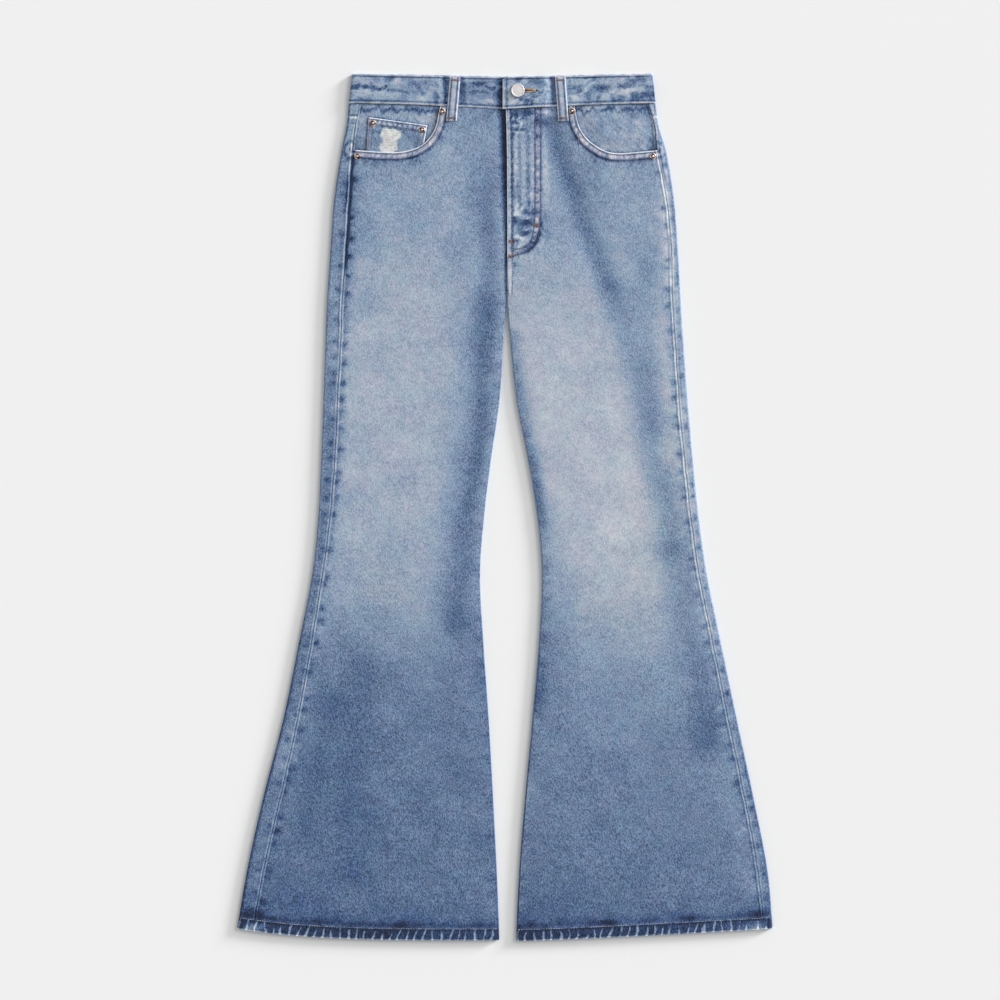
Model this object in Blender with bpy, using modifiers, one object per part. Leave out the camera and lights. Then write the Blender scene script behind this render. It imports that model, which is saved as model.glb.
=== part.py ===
"""High-waisted bootcut jeans, laid flat on their back with the front facing up.

The garment lies on the plane z = 0 with its waist towards +Y. Left and right are the
wearer's, so the right leg lies on the -X side. The origin is the middle of the
garment's outline, on the surface that it lies on.

Every size below is in millimetres. The meshes are made in metres.
"""

import math
from collections import namedtuple

import bmesh
import bpy
from mathutils import Vector

METRES = 0.001  # one millimetre

# Cloth thicknesses
CLOTH = 1.0  # one layer of denim
FOLDED_CLOTH = 2.0  # the waistband is two layers
HEM_CLOTH = 1.6  # the turned-up hem, pressed flat
LOOP_CLOTH = 1.0
SEAM_GAP = 0.3  # between two pieces that are sewn together or lie on each other
CUT_EDGE = 0.25  # length of the last step round a rolled edge

# Lengths along the garment, measured from its middle
WAIST_Y = 542.5  # the back waistband's upper edge at the sides
BAND_Y = 504.5  # the waistband's lower edge at the sides
CROTCH_Y = 261.0
HEM_Y = -527.0  # the hem's outer corners

# The waistband's edges dip towards the middle of the front
BAND_TOP_DIP = 4.0
BAND_LOW_DIP = 7.5
BAND_DIP_REACH = 190.0  # the dip starts this far from the middle
BAND_DIP_BEND = 1.6
BAND_FRONT_DROP = 2.5  # the front's upper edge lies this much below the back's
BAND_TAPER = 0.979  # its upper edge is this much shorter than its lower edge

# How high the flattened tubes stand
EDGE_HEIGHT = 5.0  # over a folded side
MIDDLE_HEIGHT = 5.8  # over the middle of a leg
HIP_HEIGHT = 6.2  # over the pockets, which have more layers
EDGE_RADIUS = EDGE_HEIGHT / 2
RISE = 18.0  # distance from a side over which the front rises
HIP_Y = (380.0, 430.0)  # the front rises to its height at the hips between these
BODY_START = (-2.0, 22.0)  # the legs' tubes end between these heights over the crotch
BAND_HEIGHT = 6.5
BUTTON_END_HEIGHT = 6.2  # the waistband's end under the button
BUTTONHOLE_END_HEIGHT = 8.5  # and the end that laps over it

# How far the hem's edge curves down to its inner corner, and how early
HEM_CURVE = {"right": (14.5, 3.6), "left": (15.5, 1.2)}
HEM_DEPTH = 13.5
HEM_STEP = 1.5  # length over which the hem's second layer ends

# The wearer's left front laps over the right one down to the bottom of the fly
FLY_BOTTOM_Y = 315.0
FLY_UNDERLAP = 12.0
FLY_DIP = 1.2  # the right front sinks this much under the left one
FLY_LIFT = 0.3  # and the left one rises this much over it
FLY_WIDTH = 42.0
FLY_END = (25.0, 3.0)  # the fly's sink and rise end between these lengths below its bottom
FLY_SINK = (14.0, 1.0)  # the sink's width beside the centre seam: where it starts, and is full
FLY_SLOPE = 10.0  # the rise ends over this width
UNDERLAP_START = 20.0  # the underlap is full this far over the fly's bottom
UNDERLAP_BEND = 4  # most of it is at the seam

# The back yoke's seam: its height at the middle of the back and at the side
YOKE_MIDDLE_Y = 441.0
YOKE_SIDE_Y = 488.0

# What is sewn on the back lies flat on the floor, and the cloth over it is lifted
POCKET_LIFT = CLOTH + SEAM_GAP
LOOP_LIFT = LOOP_CLOTH + SEAM_GAP
LIFT_MARGIN = 14.0  # the lifted cloth stays level this far round such a piece
LIFT_FALL = 20.0  # and comes down over this length

# The facing in a front pocket, and how far it lies below the front's face
FACING_MARGIN = 9.0  # it runs on this far under the pocket's edge
FACING_DEPTH_UNDER = 2.6
FACING_DEPTH_OPEN = 1.3
FACING_SLOPE = 20.0
FACING_LEVEL = 2.0  # it starts to rise this far from the pocket's edge
FACING_CLEAR = 4.0  # and does so wherever it is this far above the edge
FACING_X = (60.0, 212.0)  # the cloth that it is cut from
FACING_Y = (425.0, 512.0)
FACING_END = (2.0, 8.0)  # its lower edge stops this short of the outseam and the waistband

Section = namedtuple(
    "Section", "y right_outer right_seam right_inner left_inner left_seam left_outer"
)
# Where each leg's folded edges and its outseam lie at each height. Above the crotch
# the two inner columns are the two sides of the centre seam.
SECTIONS = [
    Section(504.5, -195.6, -181.5, 0.3, 0.6, 179.6, 188.4),
    Section(477.5, -198.1, -186.9, 1.2, 1.5, 187.2, 191.8),
    Section(446.0, -204.4, -190.9, 1.9, 2.2, 190.3, 201.3),
    Section(384.0, -213.8, -195.3, 2.4, 2.7, 201.9, 211.3),
    Section(321.0, -218.4, -199.4, 2.4, 2.7, 207.9, 216.3),
    Section(261.0, -222.5, -203.8, 1.2, 1.8, 209.4, 219.6),
    Section(209.0, -224.6, -205.4, -1.9, 6.0, 212.5, 222.9),
    Section(134.0, -227.1, -209.6, -6.8, 13.8, 217.5, 228.4),
    Section(59.0, -230.0, -213.0, -17.5, 28.3, 224.4, 235.0),
    Section(-16.0, -233.8, -219.4, -26.5, 40.4, 232.8, 242.7),
    Section(-85.0, -241.3, -228.5, -31.2, 45.7, 242.5, 252.7),
    Section(-166.0, -257.1, -241.5, -27.3, 42.5, 258.8, 269.3),
    Section(-266.0, -277.5, -259.4, -20.4, 34.1, 278.8, 290.0),
    Section(-366.0, -303.1, -281.9, -14.8, 24.8, 300.0, 311.3),
    Section(-454.0, -322.5, -301.9, -10.4, 17.8, 315.6, 328.2),
    Section(-527.0, -335.0, -315.0, -7.5, 14.3, 324.0, 335.0),
    Section(-545.0, -337.5, -318.0, -7.0, 13.8, 326.0, 337.0),
]

# The sides of the flattened waistband's lower edge
BAND_SIDES = {"right": -195.6, "left": 188.4}
SIDES = ("right", "left")

# The front's share of the inner fold: the left leg's inseam has rolled to the top
FRONT_ROLL = {"right": math.radians(90), "left": math.radians(25)}

# Stations between the hem and the waistband where the panels have a row of points
STATION_ENDS = (-480, -85, 165, 240, 285, 345, 400)
STATION_COUNTS = (8, 6, 4, 6, 2, 2)
# and above the last station. At the outseam, the front's rows meet the back's and the yoke's
BACK_TOP_SHARES = (1 / 3, 2 / 3, 1)
FRONT_TOP_SHARES = (0.281, 0.562, 0.843, 1)

Fold = namedtuple("Fold", "side start end width depth")
# The soft troughs in the fronts, by the places where each starts and ends
FOLDS = [
    Fold("right", (-22, 470), (-16, 250), 12, 0.5),
    Fold("right", (-25, 240), (-52, -40), 17, 0.8),
    Fold("right", (-120, -150), (-70, -330), 30, 0.5),
    Fold("left", (58, 470), (112, 300), 17, 0.7),
    Fold("left", (62, 235), (150, 330), 14, 0.4),
    Fold("left", (196, 120), (218, -150), 20, 0.6),
    Fold("left", (120, -190), (235, -420), 26, 0.5),
]

# The front pockets' curved edges, from the waistband to the outseam
POCKET_EDGES = {
    "right": [(-79, 506), (-83, 493), (-86, 477), (-94, 462), (-108, 450), (-130, 443.8),
              (-155, 443.8), (-192, 446.5)],
    "left": [(87, 506), (90, 484), (95, 471), (106, 457), (125, 445), (142, 442),
             (160, 443), (192, 446)],
}

# Coin pocket corners: upper outer, upper inner, lower inner, lower outer
COIN_POCKET = [(-170.5, 487), (-97, 477), (-105, 434), (-174, 434)]
COIN_X = (-182.0, -86.0)  # the cloth that it is cut from
COIN_Y = (428.0, 494.0)

# Back pockets
BACK_POCKET_WIDTH = 130.0
BACK_POCKET_NARROWING = 8.0  # on each side, at the lower corners
BACK_POCKET_SIDE = 122.0
BACK_POCKET_POINT = 22.0
BACK_POCKET_TILT = math.radians(4)
BACK_POCKET_MIDDLE = {"right": (-104.0, 412.0), "left": (104.0, 412.0)}

# Belt loops: width and length, and the middle of each one's upper and lower end
LOOP_WIDTH = 13.0
LoopPlace = namedtuple("LoopPlace", "name face top low")
LOOPS = [
    LoopPlace("belt_loop_front_right", "front", (-62.3, 536.5), (-67.0, 482.5)),
    LoopPlace("belt_loop_front_left", "front", (69.0, 536.5), (72.9, 482.5)),
    LoopPlace("belt_loop_back_right", "back", (-98.0, 540.5), (-99.0, 486.0)),
    LoopPlace("belt_loop_back_middle", "back", (1.0, 538.0), (1.0, 484.0)),
    LoopPlace("belt_loop_back_left", "back", (98.0, 540.5), (99.0, 486.0)),
]

# The two ends of the waistband at the middle of the front
BUTTON_END_X = 40.0
BUTTONHOLE_END_X = -3.0
DIP_X = (-6.0, -22.0)  # the end under the button sinks between these
END_SLOPE_X = (46.0, 58.0)  # and the lapping end rises between these
CORNER_X = 6.0  # its upper corner is rounded from here
CORNER_DROP = 3.5
CORNER_LENGTH = 3.0
BAND_BACK_MARGIN = 15.0  # the back waistband's height is measured this far over its edge
BUTTON_PLACE = (15.9, 520.0)
BUTTONHOLE_LENGTH = 25.0
BUTTONHOLE_WIDTH = 1.6
EYELET_RADIUS = 3.4

# The button: a head on a shank
BUTTON_RADIUS = 8.5
SHANK_RADIUS = 2.8
BUTTON_LIFT = 2.6  # its head's underside over the cloth that its shank stands on
BUTTON_HEAD = 2.4
# From the middle of its face to its underside: share of its radius, drop from the top
BUTTON_PROFILE = [(0, 0), (0.55, 0.1), (0.85, 0.35), (0.97, 0.8), (1, 1.3), (0.96, 2.0),
                  (0.85, BUTTON_HEAD)]
BUTTON_STEPS = 24

# Rivets: a raised rim with a nub in the middle
RIVET_RADIUS = 4.1
RIVET_HEIGHT = 1.5
RIVET_LIFT = 0.1  # on top of the gap, because the front isn't level
# From the nub to the rim's foot: share of the radius, share of the height
RIVET_PROFILE = [(0, 1), (0.28, 0.9), (0.42, 0.5), (0.68, 0.65), (0.92, 0.45), (1, 0.15),
                 (0.96, 0), (0, 0)]
RIVET_STEPS = 14
RivetPlace = namedtuple("RivetPlace", "name side x y on")
RIVETS = [
    RivetPlace("rivet_pocket_right_inner", "right", -78.6, 493.8, "front"),
    RivetPlace("rivet_pocket_right_outer", "right", -184.6, 438.2, "front"),
    RivetPlace("rivet_coin_outer", "right", -165.0, 479.5, "coin"),
    RivetPlace("rivet_coin_inner", "right", -103.8, 471.5, "coin"),
    RivetPlace("rivet_pocket_left_inner", "left", 83.8, 494.6, "front"),
    RivetPlace("rivet_pocket_left_outer", "left", 184.8, 438.0, "front"),
]

# How many steps each stretch of cloth is made in
FRONT_ACROSS = 15
BACK_ACROSS = 8
ROLLED_STEPS = 3
FOLDED_STEPS = 6
WRAPPED_STEPS = 2
YOKE_ROWS = 4
FACING_STEPS = (15, 9)
FACING_SEAM_ROWS = 5
FACING_TOP_STEPS = 6
COIN_STEPS = (10, 8)
POCKET_EDGE_STEPS = 4
BAND_ROWS = 2
BAND_FOLDED_STEPS = 8
BAND_BACK_STEPS = 18
LOOP_ROWS = 6
EYELET_SIDES = 16

# Prisms that cut cloth to its pattern reach well past it
PRISM_Z = (-10.0, 30.0)
OPENING_X = 260.0
OPENING_Y = 540.0
BUTTONHOLE_TOP = 20.0
BUTTONHOLE_CLEARANCE = 0.1  # its prism stays this far over the waistband's under end
LOOP_RISE = (9.0, 1.0)  # a loop rises to the waistband between these lengths below it

# Finishes: colour, roughness, metallic
DENIM = ((0.31, 0.40, 0.54), 0.9, 0.0)
DARK_DENIM = ((0.20, 0.28, 0.42), 0.9, 0.0)
COPPER = ((0.45, 0.27, 0.17), 0.4, 1.0)
SILVER = ((0.78, 0.75, 0.73), 0.35, 1.0)


def smooth(low, high, value):
    """0 below low, 1 above high, and an even S between them."""
    share = min(1.0, max(0.0, (value - low) / (high - low)))
    return share * share * (3 - 2 * share)


def spread(start, end, count):
    """Evenly spread numbers from start to just short of end."""
    return [start + (end - start) * k / count for k in range(count)]


def place_between(column, y):
    """One column of SECTIONS at this height, on a smooth curve through its rows."""
    rows = SECTIONS
    k = next((i for i in range(len(rows) - 2) if y > rows[i + 1].y), len(rows) - 2)
    upper, lower = rows[k], rows[k + 1]
    before, after = rows[max(k - 1, 0)], rows[min(k + 2, len(rows) - 1)]
    length = lower.y - upper.y
    share = (y - upper.y) / length
    start, end = getattr(upper, column), getattr(lower, column)
    rise_in = (end - getattr(before, column)) / (lower.y - before.y) * length
    rise_out = (getattr(after, column) - start) / (after.y - upper.y) * length
    two, three = share * share, share ** 3
    return (
        (2 * three - 3 * two + 1) * start
        + (three - 2 * two + share) * rise_in
        + (3 * two - 2 * three) * end
        + (three - two) * rise_out
    )


def edge_x(side, edge, y):
    return place_between(f"{side}_{edge}", y)


def leg_share(y):
    """1 down the legs, where the inner edge is a fold, and 0 over the body."""
    return 1 - smooth(CROTCH_Y + BODY_START[0], CROTCH_Y + BODY_START[1], y)


def band_low_y(x):
    """The waistband's lower edge."""
    return BAND_Y - BAND_LOW_DIP * max(0.0, 1 - abs(x) / BAND_DIP_REACH) ** BAND_DIP_BEND


def band_top_y(x):
    """The back waistband's upper edge."""
    return WAIST_Y - BAND_TOP_DIP * max(0.0, 1 - abs(x) / BAND_DIP_REACH)


def hem_y(side, x):
    """The hem's edge, which curves down from its outer corner to its inner one."""
    outer, inner = edge_x(side, "outer", HEM_Y), edge_x(side, "inner", HEM_Y)
    share = min(1.0, max(0.0, (x - outer) / (inner - outer)))
    depth, bend = HEM_CURVE[side]
    return HEM_Y - depth * (1 - (1 - share) ** bend)


def yoke_y(side, x):
    """The seam between a yoke and the back below it."""
    outer = edge_x(side, "outer", YOKE_SIDE_Y)
    share = min(1.0, abs(x) / abs(outer))
    return YOKE_MIDDLE_Y + (YOKE_SIDE_Y - YOKE_MIDDLE_Y) * share


def distance_to_segment(point, start, end):
    point, start, end = Vector(point), Vector(start), Vector(end)
    along = end - start
    share = min(1.0, max(0.0, (point - start).dot(along) / along.length_squared))
    return (point - start - along * share).length


def front_height(side, x, y):
    """Height of a front's outer face, before its inner edge rolls down."""
    from_outer = max(0.0, abs(x - edge_x(side, "outer", y)) - EDGE_RADIUS)
    from_inner = max(0.0, abs(x - edge_x(side, "inner", y)) - EDGE_RADIUS)
    rise = 1 - math.exp(-from_outer / RISE)
    rise *= 1 - leg_share(y) * math.exp(-from_inner / RISE)
    middle = MIDDLE_HEIGHT + (HIP_HEIGHT - MIDDLE_HEIGHT) * smooth(HIP_Y[0], HIP_Y[1], y)
    height = EDGE_HEIGHT + (middle - EDGE_HEIGHT) * rise
    for fold in FOLDS:
        if fold.side == side:
            away = distance_to_segment((x, y), fold.start, fold.end)
            height -= fold.depth * rise * math.exp(-((away / fold.width) ** 2))
    over_fly = smooth(FLY_BOTTOM_Y - FLY_END[0], FLY_BOTTOM_Y - FLY_END[1], y)
    centre = edge_x(side, "inner", y)
    if side == "right":
        return height - FLY_DIP * over_fly * smooth(centre - FLY_SINK[0], centre - FLY_SINK[1], x)
    return height + FLY_LIFT * over_fly * (1 - smooth(FLY_WIDTH, FLY_WIDTH + FLY_SLOPE, x))


def outside_box(x, y, low, high):
    """How far a point lies outside a box in the plane."""
    return math.hypot(max(low[0] - x, x - high[0], 0.0), max(low[1] - y, y - high[1], 0.0))


def back_pocket_outline(side):
    """A patch pocket: a straight top, sides that narrow downwards, and a point."""
    half = BACK_POCKET_WIDTH / 2
    low = half - BACK_POCKET_NARROWING
    corners = [
        (-half, 0),
        (-low, -BACK_POCKET_SIDE),
        (0, -BACK_POCKET_SIDE - BACK_POCKET_POINT),
        (low, -BACK_POCKET_SIDE),
        (half, 0),
    ]
    middle = Vector(BACK_POCKET_MIDDLE[side])
    tilt = -BACK_POCKET_TILT if side == "left" else BACK_POCKET_TILT
    cos, sin = math.cos(tilt), math.sin(tilt)
    return [middle + Vector((x * cos + y * sin, y * cos - x * sin)) for x, y in corners]


def lifted_boxes():
    """(low corner, high corner, lift) of each piece sewn on the back."""
    boxes = []
    for side in SIDES:
        outline = back_pocket_outline(side)
        low = (min(p.x for p in outline), min(p.y for p in outline))
        high = (max(p.x for p in outline), max(p.y for p in outline))
        boxes.append((low, high, POCKET_LIFT))
    for loop in LOOPS:
        if loop.face == "back":
            low = (min(loop.top[0], loop.low[0]) - LOOP_WIDTH / 2, loop.low[1])
            high = (max(loop.top[0], loop.low[0]) + LOOP_WIDTH / 2, loop.top[1])
            boxes.append((low, high, LOOP_LIFT))
    return boxes


LIFTED = lifted_boxes()


def back_height(x, y):
    """Height of the back's outer face, which is its underside."""
    return max(
        lift * (1 - smooth(LIFT_MARGIN, LIFT_MARGIN + LIFT_FALL, outside_box(x, y, low, high)))
        for low, high, lift in LIFTED
    )


def material(name, finish):
    colour, roughness, metallic = finish
    made = bpy.data.materials.new(name)
    made.use_nodes = True
    shader = made.node_tree.nodes["Principled BSDF"]
    shader.inputs["Base Color"].default_value = (*colour, 1.0)
    shader.inputs["Roughness"].default_value = roughness
    shader.inputs["Metallic"].default_value = metallic
    made.diffuse_color = (*colour, 1.0)
    return made


def add_object(name, mesh, finish, collection):
    obj = bpy.data.objects.new(name, mesh)
    obj.data.materials.append(material(name, finish))
    collection.objects.link(obj)
    return obj


def sheet_mesh(name, grid):
    """An open surface through a grid of points in millimetres, a list of equal columns."""
    mesh = bmesh.new()
    verts = [[mesh.verts.new(point * METRES) for point in column] for column in grid]
    for left, right in zip(verts, verts[1:]):
        for k in range(len(left) - 1):
            mesh.faces.new((left[k], right[k], right[k + 1], left[k + 1]))
    data = bpy.data.meshes.new(name)
    mesh.to_mesh(data)
    mesh.free()
    return data


def add_thickness(obj, thickness, thin_share=1.0, thick_points=()):
    """Gives a surface its cloth on the inner side: the outer face stays where it is."""
    wall = obj.modifiers.new("cloth", "SOLIDIFY")
    wall.thickness = thickness * METRES
    wall.offset = -1
    wall.use_even_offset = True
    if thick_points:
        group = obj.vertex_groups.new(name="folded")
        group.add(list(thick_points), 1.0, "REPLACE")
        wall.vertex_group = group.name
        wall.thickness_vertex_group = thin_share


def roll_points(side, y, share, full_turn, upward, count):
    """(x, rise) of points round a sheet's inner edge: its flat end first, its cut edge last.

    Where share is 1 the leg is a tube, and the edge has turned by full_turn. Its cloth
    keeps the same length, so where share is 0 it lies flat. The last step is short, which
    keeps the cut edge square to the cloth.
    """
    towards = 1 if side == "right" else -1
    length = EDGE_RADIUS * full_turn - SEAM_GAP * 1.1
    radius = EDGE_RADIUS / max(share, 1e-5)
    reach = radius * math.sin(min(length / radius, math.pi / 2))
    short = EDGE_RADIUS * (1 - math.sin(min(length / EDGE_RADIUS, math.pi / 2)))
    start = reach + short * share + SEAM_GAP / 2 * (1 - share)
    steps = [(length - CUT_EDGE) * k / count for k in range(count + 1)] + [length]
    edge = edge_x(side, "inner", y)
    return [
        (
            edge - towards * (start - radius * math.sin(step / radius)),
            upward * radius * (1 - math.cos(step / radius)),
        )
        for step in steps
    ]


def stations():
    """Heights of the rows of points between the hem and the waistband."""
    found = []
    for low, high, count in zip(STATION_ENDS, STATION_ENDS[1:], STATION_COUNTS):
        found += spread(low, high, count)
    return found + [STATION_ENDS[-1]]


def column_heights(low, high, top_shares):
    """The rows of one column, from its own hem over the stations to its own top edge."""
    found = stations()
    last = found[-1]
    top = [last + (high - last) * share for share in top_shares]
    return [low, low + HEM_DEPTH, low + HEM_DEPTH + HEM_STEP] + found + top


def panel_grid(columns, heights):
    """Points of a panel: each column is a function from y to (x, z)."""
    grid = []
    for column, rows in zip(columns, heights):
        points = []
        for y in rows:
            x, z = column(y)
            points.append(Vector((x, y, z)))
        grid.append(points)
    return grid


def underlap(side, y):
    """How far the right front runs on under the left one beside the zip."""
    if side == "left":
        return 0.0
    return FLY_UNDERLAP * smooth(FLY_BOTTOM_Y, FLY_BOTTOM_Y + UNDERLAP_START, y)


def front_columns(side):
    """Columns from the outseam to the inner edge, then round the edge's roll."""
    towards = 1 if side == "right" else -1
    across, rolled, full_turn = FRONT_ACROSS, ROLLED_STEPS, FRONT_ROLL[side]

    def flat(share):
        def column(y):
            start = edge_x(side, "seam", y) + towards * SEAM_GAP / 2
            end, _ = roll_points(side, y, leg_share(y), full_turn, -1, rolled)[0]
            lap = underlap(side, y) * share ** UNDERLAP_BEND
            x = start + (end - start) * share + towards * lap
            return x, front_height(side, x, y)

        return column

    def round_edge(step):
        def column(y):
            points = roll_points(side, y, leg_share(y), full_turn, -1, rolled)
            x = points[step][0] + towards * underlap(side, y)
            start_x = points[0][0] + towards * underlap(side, y)
            z = front_height(side, start_x, y)
            if leg_share(y) == 0:
                z = front_height(side, x, y)
            return x, z + points[step][1]

        return column

    return [flat(k / across) for k in range(across + 1)] + [
        round_edge(step) for step in range(1, rolled + 2)
    ]


def back_columns(side):
    """Columns from the inner edge along the floor, round the outer fold, to the outseam."""
    towards = 1 if side == "right" else -1
    across, rolled, full_turn = BACK_ACROSS, ROLLED_STEPS, math.pi - FRONT_ROLL[side]

    def round_edge(step):
        def column(y):
            x, rise = roll_points(side, y, leg_share(y), full_turn, 1, rolled)[step]
            return x, back_height(x, y) + rise

        return column

    def flat(share):
        def column(y):
            start, _ = roll_points(side, y, leg_share(y), full_turn, 1, rolled)[0]
            end = edge_x(side, "outer", y) + towards * EDGE_RADIUS
            x = start + (end - start) * share
            return x, back_height(x, y)

        return column

    def fold(step):
        angle = math.pi * step / FOLDED_STEPS

        def column(y):
            x = edge_x(side, "outer", y) + towards * EDGE_RADIUS * (1 - math.sin(angle))
            return x, EDGE_RADIUS * (1 - math.cos(angle))

        return column

    def wrap(step):
        def column(y):
            start = edge_x(side, "outer", y) + towards * EDGE_RADIUS
            end = edge_x(side, "seam", y) - towards * SEAM_GAP / 2
            x = start + (end - start) * step / WRAPPED_STEPS
            return x, front_height(side, x, y)

        return column

    return (
        [round_edge(step) for step in range(rolled + 1, 0, -1)]
        + [flat(k / across) for k in range(across + 1)]
        + [fold(step) for step in range(1, FOLDED_STEPS + 1)]
        + [wrap(step) for step in range(1, WRAPPED_STEPS + 1)]
    )


def add_panel(name, grid, flip, finish, collection, with_hem=True):
    """A cut panel: its surface, and its cloth, doubled where the hem is turned up."""
    if flip:
        grid = grid[::-1]
    obj = add_object(name, sheet_mesh(name, grid), finish, collection)
    rows = len(grid[0])
    if with_hem:
        hem = [c * rows + r for c in range(len(grid)) for r in (0, 1)]
        add_thickness(obj, HEM_CLOTH, CLOTH / HEM_CLOTH, hem)
    else:
        add_thickness(obj, CLOTH)
    return obj


def curve_through(points, steps):
    """A smooth open curve through points in the plane, as a list of points."""
    points = [Vector(p) for p in points]
    padded = [points[0] * 2 - points[1]] + points + [points[-1] * 2 - points[-2]]
    found = []
    for a, b, c, d in zip(padded, padded[1:], padded[2:], padded[3:]):
        for k in range(steps):
            t = k / steps
            found.append(
                0.5 * (2 * b + (c - a) * t + (2 * a - 5 * b + 4 * c - d) * t ** 2
                       + (3 * b - a - 3 * c + d) * t ** 3)
            )
    return found + [points[-1]]


def moved_out(line, distance):
    """The line moved sideways, to its left as it runs."""
    found = []
    for k, point in enumerate(line):
        along = (line[min(k + 1, len(line) - 1)] - line[max(k - 1, 0)]).normalized()
        found.append(point + Vector((-along.y, along.x)) * distance)
    return found


def flat_outline(name, outline, thickness):
    """A filled outline in the plane, thickened evenly on both sides of it."""
    curve = bpy.data.curves.new(name, "CURVE")
    curve.dimensions = "2D"
    curve.fill_mode = "BOTH"
    curve.extrude = thickness / 2 * METRES
    spline = curve.splines.new("POLY")
    spline.points.add(len(outline) - 1)
    for point, corner in zip(spline.points, outline):
        point.co = (corner[0] * METRES, corner[1] * METRES, 0, 1)
    spline.use_cyclic_u = True
    return curve


def prism(name, outline, low, high, collection):
    """An upright prism on an outline, which cuts cloth to its pattern."""
    flat = bpy.data.objects.new(name + "_outline", flat_outline(name, outline, high - low))
    collection.objects.link(flat)
    bpy.context.view_layer.update()
    graph = bpy.context.evaluated_depsgraph_get()
    data = bpy.data.meshes.new_from_object(flat.evaluated_get(graph))
    bpy.data.objects.remove(flat)
    mesh = bmesh.new()
    mesh.from_mesh(data)
    bmesh.ops.remove_doubles(mesh, verts=mesh.verts, dist=1e-6)
    bmesh.ops.recalc_face_normals(mesh, faces=mesh.faces)
    mesh.to_mesh(data)
    mesh.free()
    obj = bpy.data.objects.new(name, data)
    obj.location.z = (high + low) / 2 * METRES
    obj.hide_render = True
    obj.display_type = "WIRE"
    collection.objects.link(obj)
    return obj


def cut(obj, cutter, operation):
    made = obj.modifiers.new(f"{operation.lower()}_{cutter.name}", "BOOLEAN")
    made.operation = operation
    made.object = cutter


def pocket_edge(side):
    return curve_through(POCKET_EDGES[side], POCKET_EDGE_STEPS)


def pocket_corner(side, grow):
    """Outline of a front pocket's opening, whose curved edge is moved out by grow."""
    edge = pocket_edge(side)
    return moved_out(edge, -grow if side == "left" else grow)


def add_fronts(collection, cutters):
    """The two front panels, cut away at their pockets."""
    for side in SIDES:
        columns = front_columns(side)
        heights = []
        for column in columns:
            low = hem_y(side, column(HEM_Y)[0])
            high = band_low_y(column(BAND_Y)[0]) - SEAM_GAP / 2
            heights.append(column_heights(low, high, FRONT_TOP_SHARES))
        grid = panel_grid(columns, heights)
        name = f"{side}_front_panel"
        obj = add_panel(name, grid, side == "left", DENIM, collection)
        edge = pocket_corner(side, 0)
        beyond = OPENING_X if side == "left" else -OPENING_X
        opening = edge + [(beyond, edge[-1].y), (beyond, OPENING_Y), (edge[0].x, OPENING_Y)]
        cut(obj, prism(f"{side}_pocket_cutter", opening, *PRISM_Z, cutters), "DIFFERENCE")


def add_backs(collection):
    """The two back panels and the yokes over them, each wrapped round the outer fold."""
    on_floor = ROLLED_STEPS + BACK_ACROSS + 2
    for side in SIDES:
        columns = back_columns(side)
        heights, yoke_heights = [], []
        for k, column in enumerate(columns):
            low = hem_y(side, column(HEM_Y)[0])
            seam = yoke_y(side, column(YOKE_SIDE_Y)[0]) if k < on_floor else YOKE_SIDE_Y
            high = band_low_y(column(BAND_Y)[0]) - SEAM_GAP / 2
            heights.append(column_heights(low, seam - SEAM_GAP / 2, BACK_TOP_SHARES))
            start = seam + SEAM_GAP / 2
            yoke_heights.append(spread(start, high, YOKE_ROWS) + [high])
        flip = side == "left"
        add_panel(f"{side}_back_panel", panel_grid(columns, heights), flip, DARK_DENIM, collection)
        yoke = panel_grid(columns, yoke_heights)
        add_panel(f"{side}_yoke", yoke, flip, DENIM, collection, with_hem=False)


def facing_depth(side, x, y, edge):
    """How far a facing's outer face lies below the front's, by distance from the edge."""
    nearest = min(edge, key=lambda p: (p.x - x) ** 2 + (p.y - y) ** 2)
    away = math.hypot(nearest.x - x, nearest.y - y)
    inward = (x < nearest.x) if side == "right" else (x > nearest.x)
    inside = (inward and y > nearest.y) or y > nearest.y + FACING_CLEAR
    share = smooth(FACING_LEVEL, FACING_SLOPE, away) if inside else 0.0
    return FACING_DEPTH_UNDER + (FACING_DEPTH_OPEN - FACING_DEPTH_UNDER) * share


def cloth_rectangle(x_range, y_range, steps, height):
    """A grid of points over a rectangle, at the height that the function gives."""
    places = spread(*x_range, steps[0]) + [x_range[1]]
    heights = spread(*y_range, steps[1]) + [y_range[1]]
    return [[Vector((x, y, height(x, y))) for y in heights] for x in places]


def add_pocket_facings(collection, cutters):
    """The cloth that shows inside each front pocket's opening."""
    for side in SIDES:
        edge = pocket_edge(side)
        name = f"{side}_pocket_facing"
        towards = 1 if side == "right" else -1
        x_range = (-FACING_X[1], -FACING_X[0]) if side == "right" else FACING_X

        def height(x, y):
            return front_height(side, x, y) - facing_depth(side, x, y, edge)

        grid = cloth_rectangle(x_range, FACING_Y, FACING_STEPS, height)
        obj = add_object(name, sheet_mesh(name, grid), DENIM, collection)
        add_thickness(obj, CLOTH)
        lower = pocket_corner(side, FACING_MARGIN)
        seam_rows = spread(lower[-1].y, BAND_Y, FACING_SEAM_ROWS)
        seam = [
            Vector((edge_x(side, "seam", y) + towards * SEAM_GAP / 2, y)) for y in seam_rows
        ]
        clear, below = FACING_END
        inside = [p for p in lower if (p.x - seam[0].x) * towards > clear and p.y < BAND_Y - below]
        start_x = edge_x(side, "seam", BAND_Y) + towards * SEAM_GAP / 2
        top_places = spread(start_x, lower[0].x, FACING_TOP_STEPS) + [lower[0].x]
        top = [Vector((x, band_low_y(x) - SEAM_GAP / 2)) for x in top_places]
        outline = inside + seam + top
        cut(obj, prism(name + "_pattern", outline, *PRISM_Z, cutters), "INTERSECT")


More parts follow.
